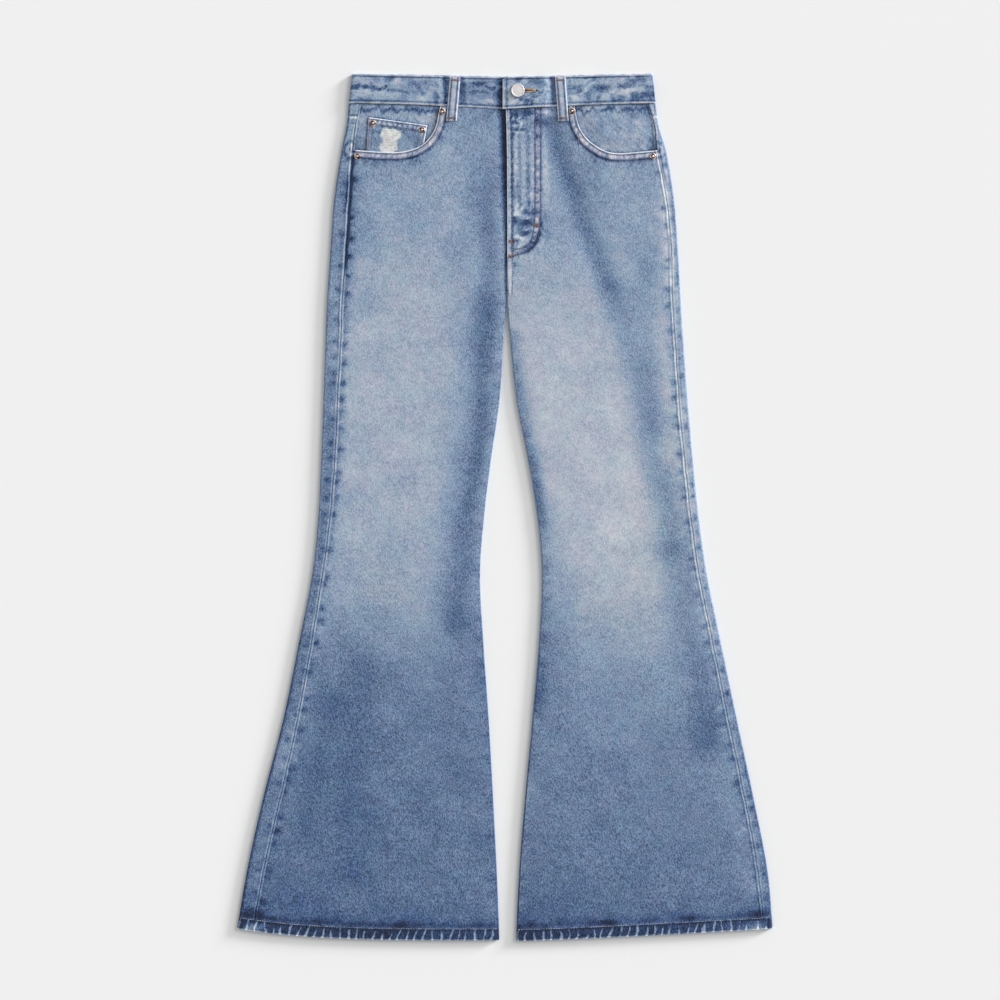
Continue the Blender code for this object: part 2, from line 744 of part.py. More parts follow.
def coin_height(x, y):
    """Outer face of the coin pocket, which lies on the right facing."""
    edge = pocket_edge("right")
    facing = front_height("right", x, y) - facing_depth("right", x, y, edge)
    return facing + SEAM_GAP + CLOTH


def add_coin_pocket(collection, cutters):
    name = "coin_pocket"
    grid = cloth_rectangle(COIN_X, COIN_Y, COIN_STEPS, coin_height)
    obj = add_object(name, sheet_mesh(name, grid), DENIM, collection)
    add_thickness(obj, CLOTH)
    cut(obj, prism(name + "_pattern", COIN_POCKET, *PRISM_Z, cutters), "INTERSECT")


def add_back_pockets(collection):
    """Patch pockets under the back panels, flat on the floor."""
    for side in SIDES:
        name = f"{side}_back_pocket"
        curve = flat_outline(name, back_pocket_outline(side), CLOTH)
        obj = add_object(name, curve, DARK_DENIM, collection)
        obj.location.z = CLOTH / 2 * METRES


def band_front_height(x, lapping):
    """Outer face of the waistband's front: each end at its own height."""
    if lapping:
        share = 1 - smooth(END_SLOPE_X[0], END_SLOPE_X[1], x)
        return BAND_HEIGHT + (BUTTONHOLE_END_HEIGHT - BAND_HEIGHT) * share
    share = 1 - smooth(-DIP_X[0], -DIP_X[1], -x)
    return BAND_HEIGHT + (BUTTON_END_HEIGHT - BAND_HEIGHT) * share


def band_path():
    """(x, z, front share) along the waistband's outer face, from its button end, round the
    right side, along the back, round the left side, to its buttonhole end."""
    radius = BAND_HEIGHT / 2
    right, left = BAND_SIDES["right"] + radius, BAND_SIDES["left"] - radius
    turns = [(math.pi * k / BAND_FOLDED_STEPS, k / BAND_FOLDED_STEPS)
             for k in range(BAND_FOLDED_STEPS + 1)]
    under = []
    for start, end, count in ((BUTTON_END_X, DIP_X[0], 5), (*DIP_X, 3), (DIP_X[1], right, 7)):
        under += spread(start, end, count)
    over = spread(left, END_SLOPE_X[1], 5)[1:]
    for start, end, count in ((END_SLOPE_X[1], END_SLOPE_X[0], 3), (END_SLOPE_X[0], CORNER_X, 4),
                              (CORNER_X, BUTTONHOLE_END_X, 3)):
        over += spread(start, end, count)
    path = [(x, band_front_height(x, False), 1.0) for x in under]
    for angle, share in turns:
        path.append((right - radius * math.sin(angle), radius * (1 + math.cos(angle)), 1 - share))
    for x in spread(right, left, BAND_BACK_STEPS)[1:]:
        path.append((x, back_height(x, BAND_Y + BAND_BACK_MARGIN), 0.0))
    for angle, share in turns:
        path.append((left + radius * math.sin(angle), radius * (1 - math.cos(angle)), share))
    path += [(x, band_front_height(x, True), 1.0) for x in over + [BUTTONHOLE_END_X]]
    return path


def add_waistband(collection, cutters):
    """One folded strip round the waist, whose ends lap over each other at the front."""
    path = band_path()
    grid = []
    for k, (x, z, front) in enumerate(path):
        low = band_low_y(x) + SEAM_GAP / 2
        high = band_top_y(x) - BAND_FRONT_DROP * front
        if k > len(path) / 2 and front == 1:  # the lapping end's upper corner is rounded
            high -= CORNER_DROP * math.exp(-(x - BUTTONHOLE_END_X) / CORNER_LENGTH)
        column = []
        for r in range(BAND_ROWS + 1):
            share = r / BAND_ROWS
            taper = 1 + (BAND_TAPER - 1) * share
            column.append(Vector((x * taper, low + (high - low) * share, z)))
        grid.append(column)
    obj = add_object("waistband", sheet_mesh("waistband", grid[::-1]), DENIM, collection)
    add_thickness(obj, FOLDED_CLOTH)
    x, y = BUTTON_PLACE
    half = BUTTONHOLE_WIDTH / 2
    end = x + BUTTONHOLE_LENGTH
    slot = [(x, y - half), (end, y - half), (end, y + half), (x, y + half)]
    eyelet = []
    for k in range(EYELET_SIDES):
        angle = 2 * math.pi * k / EYELET_SIDES
        eyelet.append((x + EYELET_RADIUS * math.cos(angle), y + EYELET_RADIUS * math.sin(angle)))
    low = BUTTON_END_HEIGHT + BUTTONHOLE_CLEARANCE
    for name, outline in (("buttonhole_cutter", slot), ("eyelet_cutter", eyelet)):
        cut(obj, prism(name, outline, low, BUTTONHOLE_TOP, cutters), "DIFFERENCE")


def loop_height(x, y):
    """Outer face of a front belt loop, which crosses from the front onto the waistband."""
    side = "right" if x < 0 else "left"
    edge = band_low_y(x)
    on_band = smooth(edge - LOOP_RISE[0], edge - LOOP_RISE[1], y)
    under = front_height(side, x, min(y, BAND_Y))
    under += (band_front_height(x, side == "left") - under) * on_band
    return under + SEAM_GAP + LOOP_CLOTH


def add_belt_loops(collection):
    """Strips sewn over the waistband: two on the front, three flat on the floor."""
    for loop in LOOPS:
        top, low = Vector(loop.top), Vector(loop.low)
        across = Vector((LOOP_WIDTH / 2, 0))
        columns = []
        for edge in (-across, across):
            column = []
            for r in range(LOOP_ROWS + 1):
                place = low + (top - low) * r / LOOP_ROWS + edge
                z = 0.0 if loop.face == "back" else loop_height(place.x, place.y)
                column.append(Vector((place.x, place.y, z)))
            columns.append(column)
        if loop.face == "back":
            columns = columns[::-1]
        obj = add_object(loop.name, sheet_mesh(loop.name, columns), DENIM, collection)
        add_thickness(obj, LOOP_CLOTH)


def add_turned(name, profile, place, finish, collection, steps):
    """A turned piece: (radius, height) points from the top of its axis to its foot."""
    mesh = bmesh.new()
    verts = [mesh.verts.new((r * METRES, 0, z * METRES)) for r, z in profile]
    for a, b in zip(verts, verts[1:]):
        mesh.edges.new((a, b))
    data = bpy.data.meshes.new(name)
    mesh.to_mesh(data)
    mesh.free()
    obj = add_object(name, data, finish, collection)
    obj.location = Vector(place) * METRES
    turn = obj.modifiers.new("turned", "SCREW")
    turn.steps = turn.render_steps = steps
    turn.use_merge_vertices = True
    turn.merge_threshold = 1e-5
    turn.use_smooth_shade = True
    return obj


def add_button(collection):
    """A shank button: a shallow domed head on a post that stands on the band's under end."""
    top = BUTTON_LIFT + BUTTON_HEAD
    profile = [(BUTTON_RADIUS * share, top - drop) for share, drop in BUTTON_PROFILE]
    profile += [(SHANK_RADIUS, BUTTON_LIFT), (SHANK_RADIUS, 0), (0, 0)]
    place = (*BUTTON_PLACE, BUTTON_END_HEIGHT + SEAM_GAP)
    add_turned("waist_button", profile, place, SILVER, collection, BUTTON_STEPS)


def add_rivets(collection):
    """Copper rivets with a raised rim and a nub in the middle."""
    profile = [(RIVET_RADIUS * share, RIVET_HEIGHT * rise) for share, rise in RIVET_PROFILE]
    for rivet in RIVETS:
        if rivet.on == "coin":
            under = coin_height(rivet.x, rivet.y)
        else:
            under = front_height(rivet.side, rivet.x, rivet.y)
        place = (rivet.x, rivet.y, under + SEAM_GAP + RIVET_LIFT)
        add_turned(rivet.name, profile, place, COPPER, collection, RIVET_STEPS)


def clear_scene():
    for obj in list(bpy.data.objects):
        bpy.data.objects.remove(obj, do_unlink=True)


def main():
    clear_scene()
    jeans = bpy.data.collections.new("bootcut_jeans")
    cutters = bpy.data.collections.new("patterns")
    bpy.context.scene.collection.children.link(jeans)
    bpy.context.scene.collection.children.link(cutters)
    add_fronts(jeans, cutters)
    add_backs(jeans)
    add_pocket_facings(jeans, cutters)
    add_coin_pocket(jeans, cutters)
    add_back_pockets(jeans)
    add_waistband(jeans, cutters)
    add_belt_loops(jeans)
    add_button(jeans)
    add_rivets(jeans)


main()
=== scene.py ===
# The looks of a pair of bootcut jeans, laid flat on their back on a pale floor.
# Lengths are in millimetres until a mesh is made, and in metres after that.

import math

import bpy
import numpy as np
from mathutils import Matrix, Vector


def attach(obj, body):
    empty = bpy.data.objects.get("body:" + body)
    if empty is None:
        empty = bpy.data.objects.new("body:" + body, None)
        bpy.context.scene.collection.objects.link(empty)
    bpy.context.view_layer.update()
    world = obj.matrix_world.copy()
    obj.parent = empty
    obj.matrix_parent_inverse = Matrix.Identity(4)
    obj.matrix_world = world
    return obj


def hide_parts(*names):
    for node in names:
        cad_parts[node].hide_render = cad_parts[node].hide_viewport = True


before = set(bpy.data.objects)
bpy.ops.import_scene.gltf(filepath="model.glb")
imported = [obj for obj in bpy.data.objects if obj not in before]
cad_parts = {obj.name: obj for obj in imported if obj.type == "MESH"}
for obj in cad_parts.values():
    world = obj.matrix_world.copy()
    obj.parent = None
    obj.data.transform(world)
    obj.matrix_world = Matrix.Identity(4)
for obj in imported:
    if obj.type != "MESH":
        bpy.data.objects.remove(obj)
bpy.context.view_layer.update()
bpy.ops.object.select_all(action="DESELECT")
scene = bpy.context.scene
mm = 0.001
sides = ("right", "left")  # the wearer's
towards = {"right": 1, "left": -1}  # the way along X from a leg's outer side to its inner side
far = 99.0  # stands for a distance that is too long to matter

# ---- the garment's form, which the solids share ----

cloth = {"layer": 1.0, "band": 2.0, "gap": 0.3, "loop": 1.0}

legColumns = ("y", "rightOuter", "rightSeam", "rightInner", "leftInner", "leftSeam", "leftOuter")
legRows = [
    (504.5, -195.6, -181.5, 0.3, 0.6, 179.6, 188.4),
    (477.5, -198.1, -186.9, 1.2, 1.5, 187.2, 191.8),
    (446.0, -204.4, -190.9, 1.9, 2.2, 190.3, 201.3),
    (384.0, -213.8, -195.3, 2.4, 2.7, 201.9, 211.3),
    (321.0, -218.4, -199.4, 2.4, 2.7, 207.9, 216.3),
    (261.0, -222.5, -203.8, 1.2, 1.8, 209.4, 219.6),
    (209.0, -224.6, -205.4, -1.9, 6.0, 212.5, 222.9),
    (134.0, -227.1, -209.6, -6.8, 13.8, 217.5, 228.4),
    (59.0, -230.0, -213.0, -17.5, 28.3, 224.4, 235.0),
    (-16.0, -233.8, -219.4, -26.5, 40.4, 232.8, 242.7),
    (-85.0, -241.3, -228.5, -31.2, 45.7, 242.5, 252.7),
    (-166.0, -257.1, -241.5, -27.3, 42.5, 258.8, 269.3),
    (-266.0, -277.5, -259.4, -20.4, 34.1, 278.8, 290.0),
    (-366.0, -303.1, -281.9, -14.8, 24.8, 300.0, 311.3),
    (-454.0, -322.5, -301.9, -10.4, 17.8, 315.6, 328.2),
    (-527.0, -335.0, -315.0, -7.5, 14.3, 324.0, 335.0),
    (-545.0, -337.5, -318.0, -7.0, 13.8, 326.0, 337.0),
]
legTable = np.array(legRows)[::-1]

form = {
    "edgeHeight": 5.0, "middleHeight": 5.8, "hipHeight": 6.2, "rise": 18.0, "edgeRadius": 2.5,
    "bandHeight": 6.5, "buttonEndHeight": 6.2, "buttonholeEndHeight": 8.5,
    "waistY": 542.5, "bandY": 504.5, "crotchY": 261.0, "hemY": -527.0,
    "bandTopDip": 4.0, "bandLowDip": 7.5, "bandFrontDrop": 1.6, "bandTaper": 0.979,
    "flyBottomY": 315.0, "flyUnderlap": 12.0, "flyDip": 1.2, "flyLift": 0.3, "flyWidth": 42.0,
    "yokeMiddleY": 441.0, "yokeSideY": 488.0,
}
hemCurve = {"right": (14.5, 3.6), "left": (15.5, 1.2)}
hemDepth = 14.0  # from the hem's edge to its stitching
frontRoll = {"right": math.radians(90), "left": math.radians(25)}

# the large soft troughs: side, start, end, width, depth
folds = [
    ("right", (-22, 470), (-16, 250), 12, 0.5),
    ("right", (-25, 240), (-52, -40), 17, 0.8),
    ("right", (-120, -150), (-70, -330), 30, 0.5),
    ("left", (58, 470), (112, 300), 17, 0.7),
    ("left", (62, 235), (150, 330), 14, 0.4),
    ("left", (196, 120), (218, -150), 20, 0.6),
    ("left", (120, -190), (235, -420), 26, 0.5),
]

pocketPoints = {
    "right": [(-79, 506), (-83, 493), (-86, 477), (-94, 462), (-108, 450), (-130, 443.8),
              (-155, 443.8), (-192, 446.5)],
    "left": [(87, 506), (90, 484), (95, 471), (106, 457), (125, 445), (142, 442),
             (160, 443), (192, 446)],
}
coinCorners = [(-170.5, 487), (-97, 477), (-105, 434), (-174, 434)]
backPocket = {"width": 130.0, "narrowing": 8.0, "side": 122.0, "point": 22.0,
              "tilt": math.radians(4), "right": (-104.0, 412.0), "left": (104.0, 412.0)}
loopWidth = 13.0
rivetPlaces = {
    "rivet_pocket_right_inner": ("front", "right", -78.6, 493.8),
    "rivet_pocket_right_outer": ("front", "right", -184.6, 438.2),
    "rivet_coin_outer": ("coin", "right", -165.0, 479.5),
    "rivet_coin_inner": ("coin", "right", -103.8, 471.5),
    "rivet_pocket_left_inner": ("front", "left", 83.8, 494.6),
    "rivet_pocket_left_outer": ("front", "left", 184.8, 438.0),
}
frontLoops = {
    "belt_loop_front_right": ((-62.3, 536.5), (-67.0, 482.5)),
    "belt_loop_front_left": ((69.0, 536.5), (72.9, 482.5)),
}
backLoops = {
    "belt_loop_back_right": ((-98.0, 540.5), (-99.0, 486.0)),
    "belt_loop_back_middle": ((1.0, 538.0), (1.0, 484.0)),
    "belt_loop_back_left": ((98.0, 540.5), (99.0, 486.0)),
}


def smoothStep(low, high, value):
    share = np.clip((np.asarray(value, float) - low) / (high - low), 0.0, 1.0)
    return share * share * (3 - 2 * share)


def nearness(value, middle, width):
    # 1 where the value is at the middle, and next to nothing two widths away
    return np.exp(-((value - middle) / width) ** 2)


def sideOf(x):
    return "right" if x < 0 else "left"


def legEdge(side, edge, y):
    # a smooth curve through one column of the leg table
    places = legTable[:, 0]
    values = legTable[:, legColumns.index(side + edge)]
    slopes = np.empty_like(values)
    slopes[1:-1] = (values[2:] - values[:-2]) / (places[2:] - places[:-2])
    slopes[0] = (values[1] - values[0]) / (places[1] - places[0])
    slopes[-1] = (values[-1] - values[-2]) / (places[-1] - places[-2])
    y = np.asarray(y, float)
    k = np.clip(np.searchsorted(places, y) - 1, 0, len(places) - 2)
    length = places[k + 1] - places[k]
    t = (y - places[k]) / length
    two, three = t * t, t ** 3
    return (
        (2 * three - 3 * two + 1) * values[k]
        + (three - 2 * two + t) * slopes[k] * length
        + (3 * two - 2 * three) * values[k + 1]
        + (three - two) * slopes[k + 1] * length
    )


def legShare(y):
    # 1 down the legs, where the inner edge is a fold, and 0 over the body
    return 1 - smoothStep(form["crotchY"] - 2, form["crotchY"] + 22, y)


def bandLowY(x):
    return form["bandY"] - form["bandLowDip"] * np.maximum(0, 1 - np.abs(x) / 190) ** 1.6


def bandTopY(x):
    return form["waistY"] - form["bandTopDip"] * np.maximum(0, 1 - np.abs(x) / 190)


def hemEdgeY(side, x):
    outer, inner = legEdge(side, "Outer", form["hemY"]), legEdge(side, "Inner", form["hemY"])
    share = np.clip((x - outer) / (inner - outer), 0, 1)
    depth, bend = hemCurve[side]
    return form["hemY"] - depth * (1 - (1 - share) ** bend)


def yokeSeamY(side, x):
    share = np.minimum(1, np.abs(x) / abs(legEdge(side, "Outer", form["yokeSideY"])))
    return form["yokeMiddleY"] + (form["yokeSideY"] - form["yokeMiddleY"]) * share


def segmentDistance(x, y, start, end):
    along = (end[0] - start[0], end[1] - start[1])
    squared = along[0] ** 2 + along[1] ** 2
    share = np.clip(((x - start[0]) * along[0] + (y - start[1]) * along[1]) / squared, 0, 1)
    return np.hypot(x - start[0] - along[0] * share, y - start[1] - along[1] * share)


def lineDistance(x, y, line):
    nearest = np.full(np.shape(x), far)
    for start, end in zip(line[:-1], line[1:]):
        nearest = np.minimum(nearest, segmentDistance(x, y, start, end))
    return nearest


def curveThrough(points, steps=8):
    p = np.array(points, float)
    p = np.vstack([2 * p[0] - p[1], p, 2 * p[-1] - p[-2]])
    found = []
    for a, b, c, d in zip(p, p[1:], p[2:], p[3:]):
        for t in np.arange(steps) / steps:
            found.append(0.5 * (2 * b + (c - a) * t + (2 * a - 5 * b + 4 * c - d) * t ** 2
                                + (3 * b - a - 3 * c + d) * t ** 3))
    return np.array(found + [p[-2]])


def closed(corners):
    # an outline that runs back to its first corner
    return np.vstack([corners, corners[:1]]).astype(float)


def movedOut(line, distance):
    # the line moved sideways, to its left as it runs
    along = np.gradient(line, axis=0)
    along /= np.linalg.norm(along, axis=1)[:, None]
    return line + np.stack([-along[:, 1], along[:, 0]], 1) * distance


def walk(line, spacing, start):
    # places and directions at even steps along a line
    line = np.asarray(line, float)
    steps = np.linalg.norm(np.diff(line, axis=0), axis=1)
    length = np.concatenate([[0], np.cumsum(steps)])
    at = np.arange(start, length[-1], spacing)
    places = np.stack([np.interp(at, length, values) for values in line.T], 1)
    ahead = np.stack([np.interp(at + 0.6, length, values) for values in line.T], 1)
    behind = np.stack([np.interp(at - 0.6, length, values) for values in line.T], 1)
    along = ahead - behind
    return places, along / np.linalg.norm(along, axis=1)[:, None]


pocketLine = {side: curveThrough(pocketPoints[side]) for side in sides}


def outward(side, distance):
    # the pocket's edge moved down and away from its opening
    return movedOut(pocketLine[side], towards[side] * distance)


def frontTopY(side, x):
    line = pocketLine[side][np.argsort(pocketLine[side][:, 0])]
    return np.minimum(np.interp(x, line[:, 0], line[:, 1]), bandLowY(x) - cloth["gap"] / 2)


def frontHeight(side, x, y):
    radius = form["edgeRadius"]
    fromOuter = np.maximum(0, np.abs(x - legEdge(side, "Outer", y)) - radius)
    fromInner = np.maximum(0, np.abs(x - legEdge(side, "Inner", y)) - radius)
    rise = 1 - np.exp(-fromOuter / form["rise"])
    rise = rise * (1 - legShare(y) * np.exp(-fromInner / form["rise"]))
    middle = form["middleHeight"]
    middle = middle + (form["hipHeight"] - middle) * smoothStep(380, 430, y)
    height = form["edgeHeight"] + (middle - form["edgeHeight"]) * rise
    for foldSide, start, end, width, depth in folds:
        if foldSide == side:
            away = segmentDistance(x, y, start, end)
            height = height - depth * rise * nearness(away, 0, width)
    overFly = smoothStep(form["flyBottomY"] - 25, form["flyBottomY"] - 3, y)
    centre = legEdge(side, "Inner", y)
    if side == "right":
        return height - form["flyDip"] * overFly * smoothStep(centre - 14, centre - 1, x)
    width = form["flyWidth"]
    return height + form["flyLift"] * overFly * (1 - smoothStep(width, width + 10, x))


def backPocketOutline(side):
    half = backPocket["width"] / 2
    low = half - backPocket["narrowing"]
    depth, point = backPocket["side"], backPocket["point"]
    corners = np.array([(-half, 0), (-low, -depth), (0, -depth - point), (low, -depth), (half, 0)])
    tilt = towards[side] * backPocket["tilt"]
    cos, sin = math.cos(tilt), math.sin(tilt)
    turned = np.stack([corners[:, 0] * cos + corners[:, 1] * sin,
                       corners[:, 1] * cos - corners[:, 0] * sin], 1)
    return turned + np.array(backPocket[side])


def liftedBoxes():
    # low corner, high corner and lift of each piece that is sewn on the back
    boxes = []
    for side in sides:
        outline = backPocketOutline(side)
        boxes.append((outline.min(0), outline.max(0), cloth["layer"] + cloth["gap"]))
    for top, low in backLoops.values():
        half = loopWidth / 2
        corners = (min(top[0], low[0]) - half, low[1]), (max(top[0], low[0]) + half, top[1])
        boxes.append((*corners, cloth["loop"] + cloth["gap"]))
    return boxes


lifted = liftedBoxes()


def backHeight(x, y):
    height = np.zeros(np.broadcast(x, y).shape)
    for low, high, lift in lifted:
        away = np.hypot(np.maximum(np.maximum(low[0] - x, x - high[0]), 0),
                        np.maximum(np.maximum(low[1] - y, y - high[1]), 0))
        height = np.maximum(height, lift * (1 - smoothStep(14, 34, away)))
    return height


# ---- wash, puckers, and painted shade and light ----

def ripple(x, y, wavelength, seed, waves=7):
    # a soft uneven swell between about -1 and 1
    turns = np.random.default_rng(seed)
    total = np.zeros(np.broadcast(x, y).shape)
    for _ in range(waves):
        angle = turns.uniform(0, math.tau)
        size = wavelength * turns.uniform(0.7, 1.6)
        phase = turns.uniform(0, math.tau)
        across = (x * math.cos(angle) + y * math.sin(angle)) / size
        total += np.sin(across * math.tau + phase)
    return total / math.sqrt(waves * 2)


# how light the wash is down the middle of each leg: height on the leg, tone
washCurve = {
    "right": [(-560, 0.24), (-520, 0.28), (-490, 0.33), (-440, 0.375), (-250, 0.405), (-200, 0.46),
              (-160, 0.56), (-120, 0.645), (-80, 0.69), (40, 0.735), (160, 0.745), (270, 0.735),
              (330, 0.66), (400, 0.63), (510, 0.60)],
    "left": [(-560, 0.25), (-520, 0.29), (-490, 0.345), (-440, 0.40), (-320, 0.455), (-240, 0.51),
             (-200, 0.575), (-160, 0.65), (-120, 0.72), (-70, 0.78), (0, 0.80), (120, 0.80),
             (220, 0.78), (280, 0.71), (340, 0.66), (400, 0.64), (510, 0.60)],
}
washTilt = {"right": (0.20, -150.0), "left": (0.25, 110.0)}  # the fade's lower end slants
# soft bands of tone, partly the wash and partly painted shade in troughs and along the legs' edges
# and painted light on strips that face the sun: line, half width, tone, lift
washAndShadeBands = {
    "right": [
        ([(-22, 255), (-26, 180), (-31, 120), (-44, 20), (-52, -80), (-60, -140)], 22, -0.27, 0.0),
        ([(-24, 135), (-32, 60), (-44, 0)], 10, -0.11, 0.0),
        ([(-34, -140), (-30, -220)], 11, -0.11, 0.0),
        ([(-22, 420), (-22, 280), (-27, 180)], 16, -0.13, 0.0),
        ([(-194, 405), (-199, 330), (-204, 235)], 15, -0.16, -0.1),
        ([(-222, 260), (-225, 60), (-236, -60)], 9, -0.10, 0.0),
        ([(-215, 170), (-220, 40), (-232, -60), (-246, -125)], 13, -0.16, 0.0),
        ([(-34, 440), (-38, 360)], 22, -0.06, 0.0),
        ([(-88, 470), (-70, 350)], 16, 0.04, 0.1),
        ([(-60, 330), (-62, 140), (-70, 0), (-74, -90)], 20, -0.055, 0.0),
        ([(-64, -145), (-48, -190)], 20, -0.10, 0.0),
        ([(-20, 345), (-18, 285)], 11, -0.10, 0.0),
        ([(-56, 486), (-20, 486)], 14, -0.09, 0.0),
        ([(-216, -250), (-236, -340), (-250, -400)], 18, -0.08, 0.0),
        ([(-168, 380), (-170, 240)], 13, -0.04, 0.0),
        ([(-168, -370), (-160, -425)], 15, -0.07, 0.0),
        ([(-180, -190), (-185, -280), (-200, -380), (-192, -450)], 22, -0.09, 0.0),
        ([(-252, -225), (-268, -290), (-285, -330)], 12, 0.11, 0.0),
    ],
    "left": [
        ([(60, 478), (66, 450), (75, 425), (87, 392), (98, 355), (112, 325), (128, 278)], 13,
         -0.24, -0.35),
        ([(138, 262), (152, 212), (164, 165), (174, 115), (184, 60), (198, 10), (208, -45)], 21,
         -0.19, -0.2),
        ([(210, -60), (228, -120), (242, -180), (250, -250), (254, -290)], 21, -0.20, 0.0),
        ([(176, 295), (178, 215), (183, 150), (188, 95)], 15, -0.13, 0.0),
        ([(206, 40), (212, -10)], 12, -0.06, 0.0),
        ([(230, -62), (236, -105)], 12, -0.10, 0.0),
        ([(204, -125), (214, -190)], 14, -0.06, 0.0),
        ([(80, -105), (86, -140)], 14, -0.05, 0.0),
        ([(23, 125), (31, 80)], 9, -0.10, 0.0),
        ([(284, -212), (300, -290)], 12, 0.10, 0.0),
        ([(196, 430), (203, 350), (206, 285)], 8, 0.27, 0.0),
        ([(128, 372), (168, 318)], 26, -0.07, 0.0),
        ([(78, 405), (108, 400)], 14, -0.08, 0.0),
        ([(262, -330), (290, -400), (306, -470)], 17, 0.07, 0.0),
        ([(24, -340), (16, -510)], 9, 0.08, 0.0),
        ([(8, 215), (14, 160), (22, 100), (34, 45), (46, -20)], 9, -0.22, 0.0),
        ([(34, 60), (44, -60), (44, -160), (38, -240)], 13, -0.20, 0.0),
        ([(64, 0), (66, -120), (60, -230)], 18, -0.07, 0.0),
        ([(110, 427), (112, 418)], 15, -0.10, -0.1),
        ([(118, 440), (128, 385), (150, 330)], 15, 0.05, 0.2),
        ([(150, 150), (158, 60), (150, -60)], 26, 0.03, 0.0),
    ],
}
# the shadow line on the right front along the fly's edge: height, depth, width, where it fades
flyShadow = [(262, 0.10, 1.0, 1.0), (285, 0.34, 1.2, 1.0), (334, 0.60, 1.3, 1.6),
             (384, 0.50, 3.3, 3.0), (446, 0.66, 4.7, 3.4), (500, 0.68, 4.8, 3.4)]


def shadeField(x, y, bands):
    x, y = np.broadcast_arrays(np.asarray(x, float), np.asarray(y, float))
    tone, lift = np.zeros(x.shape), np.zeros(x.shape)
    for line, width, bandTone, bandLift in bands:
        weight = nearness(lineDistance(x, y, line), 0, width)
        tone += bandTone * weight
        lift += bandLift * weight
    return tone, lift


def washTone(side, x, y):
    slope, middle = washTilt[side]
    places, tones = zip(*washCurve[side])
    tone = np.interp(y + slope * (x - middle) * smoothStep(150, -50, y), places, tones)
    return tone + 0.025 * ripple(x, y, 60, 11) + 0.018 * ripple(x, y, 24, 12)


def warped(x, y, reach=1.3, size=8.0):
    # places moved about a little, so that what is laid out there gets uneven edges
    x, y = np.broadcast_arrays(np.asarray(x, float), np.asarray(y, float))
    return x + reach * ripple(x, y, size, 71), y + reach * ripple(x, y, size, 72)


def spotField(x, y, spots):
    # each spot: x, y, half length, half width, direction, tone, lift
    x, y = warped(x, y)
    tone, lift = np.zeros(x.shape), np.zeros(x.shape)
    for cx, cy, longHalf, shortHalf, turn, spotTone, spotLift in spots:
        reach = 2.6 * max(longHalf, shortHalf)
        near = (np.abs(x - cx) < reach) & (np.abs(y - cy) < reach)
        if not near.any():
            continue
        dx, dy = x[near] - cx, y[near] - cy
        u = (dx * math.cos(turn) + dy * math.sin(turn)) / longHalf
        v = (dy * math.cos(turn) - dx * math.sin(turn)) / shortHalf
        weight = np.exp(-(u * u + v * v))
        tone[near] += spotTone * weight
        lift[near] += spotLift * weight
    return tone, lift


def inked(base, change, dark=0.03, light=0.97):
    # a change of tone that levels off towards navy or white
    room = np.maximum(np.where(change < 0, base - dark, light - base), 0.05)
    return base + room * np.tanh(change / room)


def puckersAlong(line, spacing, offset, size, tone, lift, seed, jitter=0.35):
    # a row of small uneven puckers beside a line; each one crosses the line at an angle
    draw = np.random.default_rng(seed)
    places, along = walk(line, spacing, spacing * draw.uniform(0.2, 0.8))
    spots = []
    for (px, py), (ax, ay) in zip(places, along):
        slide = draw.uniform(-jitter, jitter) * spacing
        out = offset * draw.uniform(0.8, 1.25)
        cx = px + ax * slide - ay * out
        cy = py + ay * slide + ax * out
        grow = draw.uniform(0.7, 1.35)
        direction = math.atan2(ax, -ay) + draw.uniform(-0.25, 0.25)
        strength = draw.uniform(0.45, 1.3)
        spots.append((cx, cy, size[0] * grow, size[1] * grow, direction,
                      tone * strength, lift * strength))
    return spots


def seamDistance(side, x, y):
    # how far a place lies on the front's side of the outseam; the turned-up hem hides it
    away = (x - legEdge(side, "Seam", y)) * towards[side]
    away = away + 0.5 * ripple(0 * x, y, 26, 75)
    return np.where(y - hemEdgeY(side, x) < 14.5, far, away)


def seamLine(side, edge, low, high, count=80):
    # down along one of a leg's edges
    y = np.linspace(high, low, count)
    return np.stack([legEdge(side, edge, y), y], 1)


def hemLine(side, count, inset=0.0, up=0.0):
    # along the hem from its outer to its inner corner
    outer, inner = (legEdge(side, edge, form["hemY"]) for edge in ("Outer", "Inner"))
    x = np.linspace(outer + towards[side] * inset, inner - towards[side] * inset, count)
    return np.stack([x, hemEdgeY(side, x) + up], 1)


def flyJ():
    # the curved double stitching of the fly: its outer row
    return curveThrough([(44.7, 498), (44.7, 440), (44.7, 385), (44.2, 362), (40, 332), (28, 319),
                         (12, 314.5)], 10)


# dark blotches and light swells beside the outseam: distance inward, tone
outseamPuckers = {
    "right": [(5.6, -0.46), (-6.0, -0.36), (7.0, 0.14), (-7.0, 0.12)],
    "left": [(5.6, -0.34), (-6.0, -0.36), (7.0, 0.14), (-7.0, 0.12)],
}


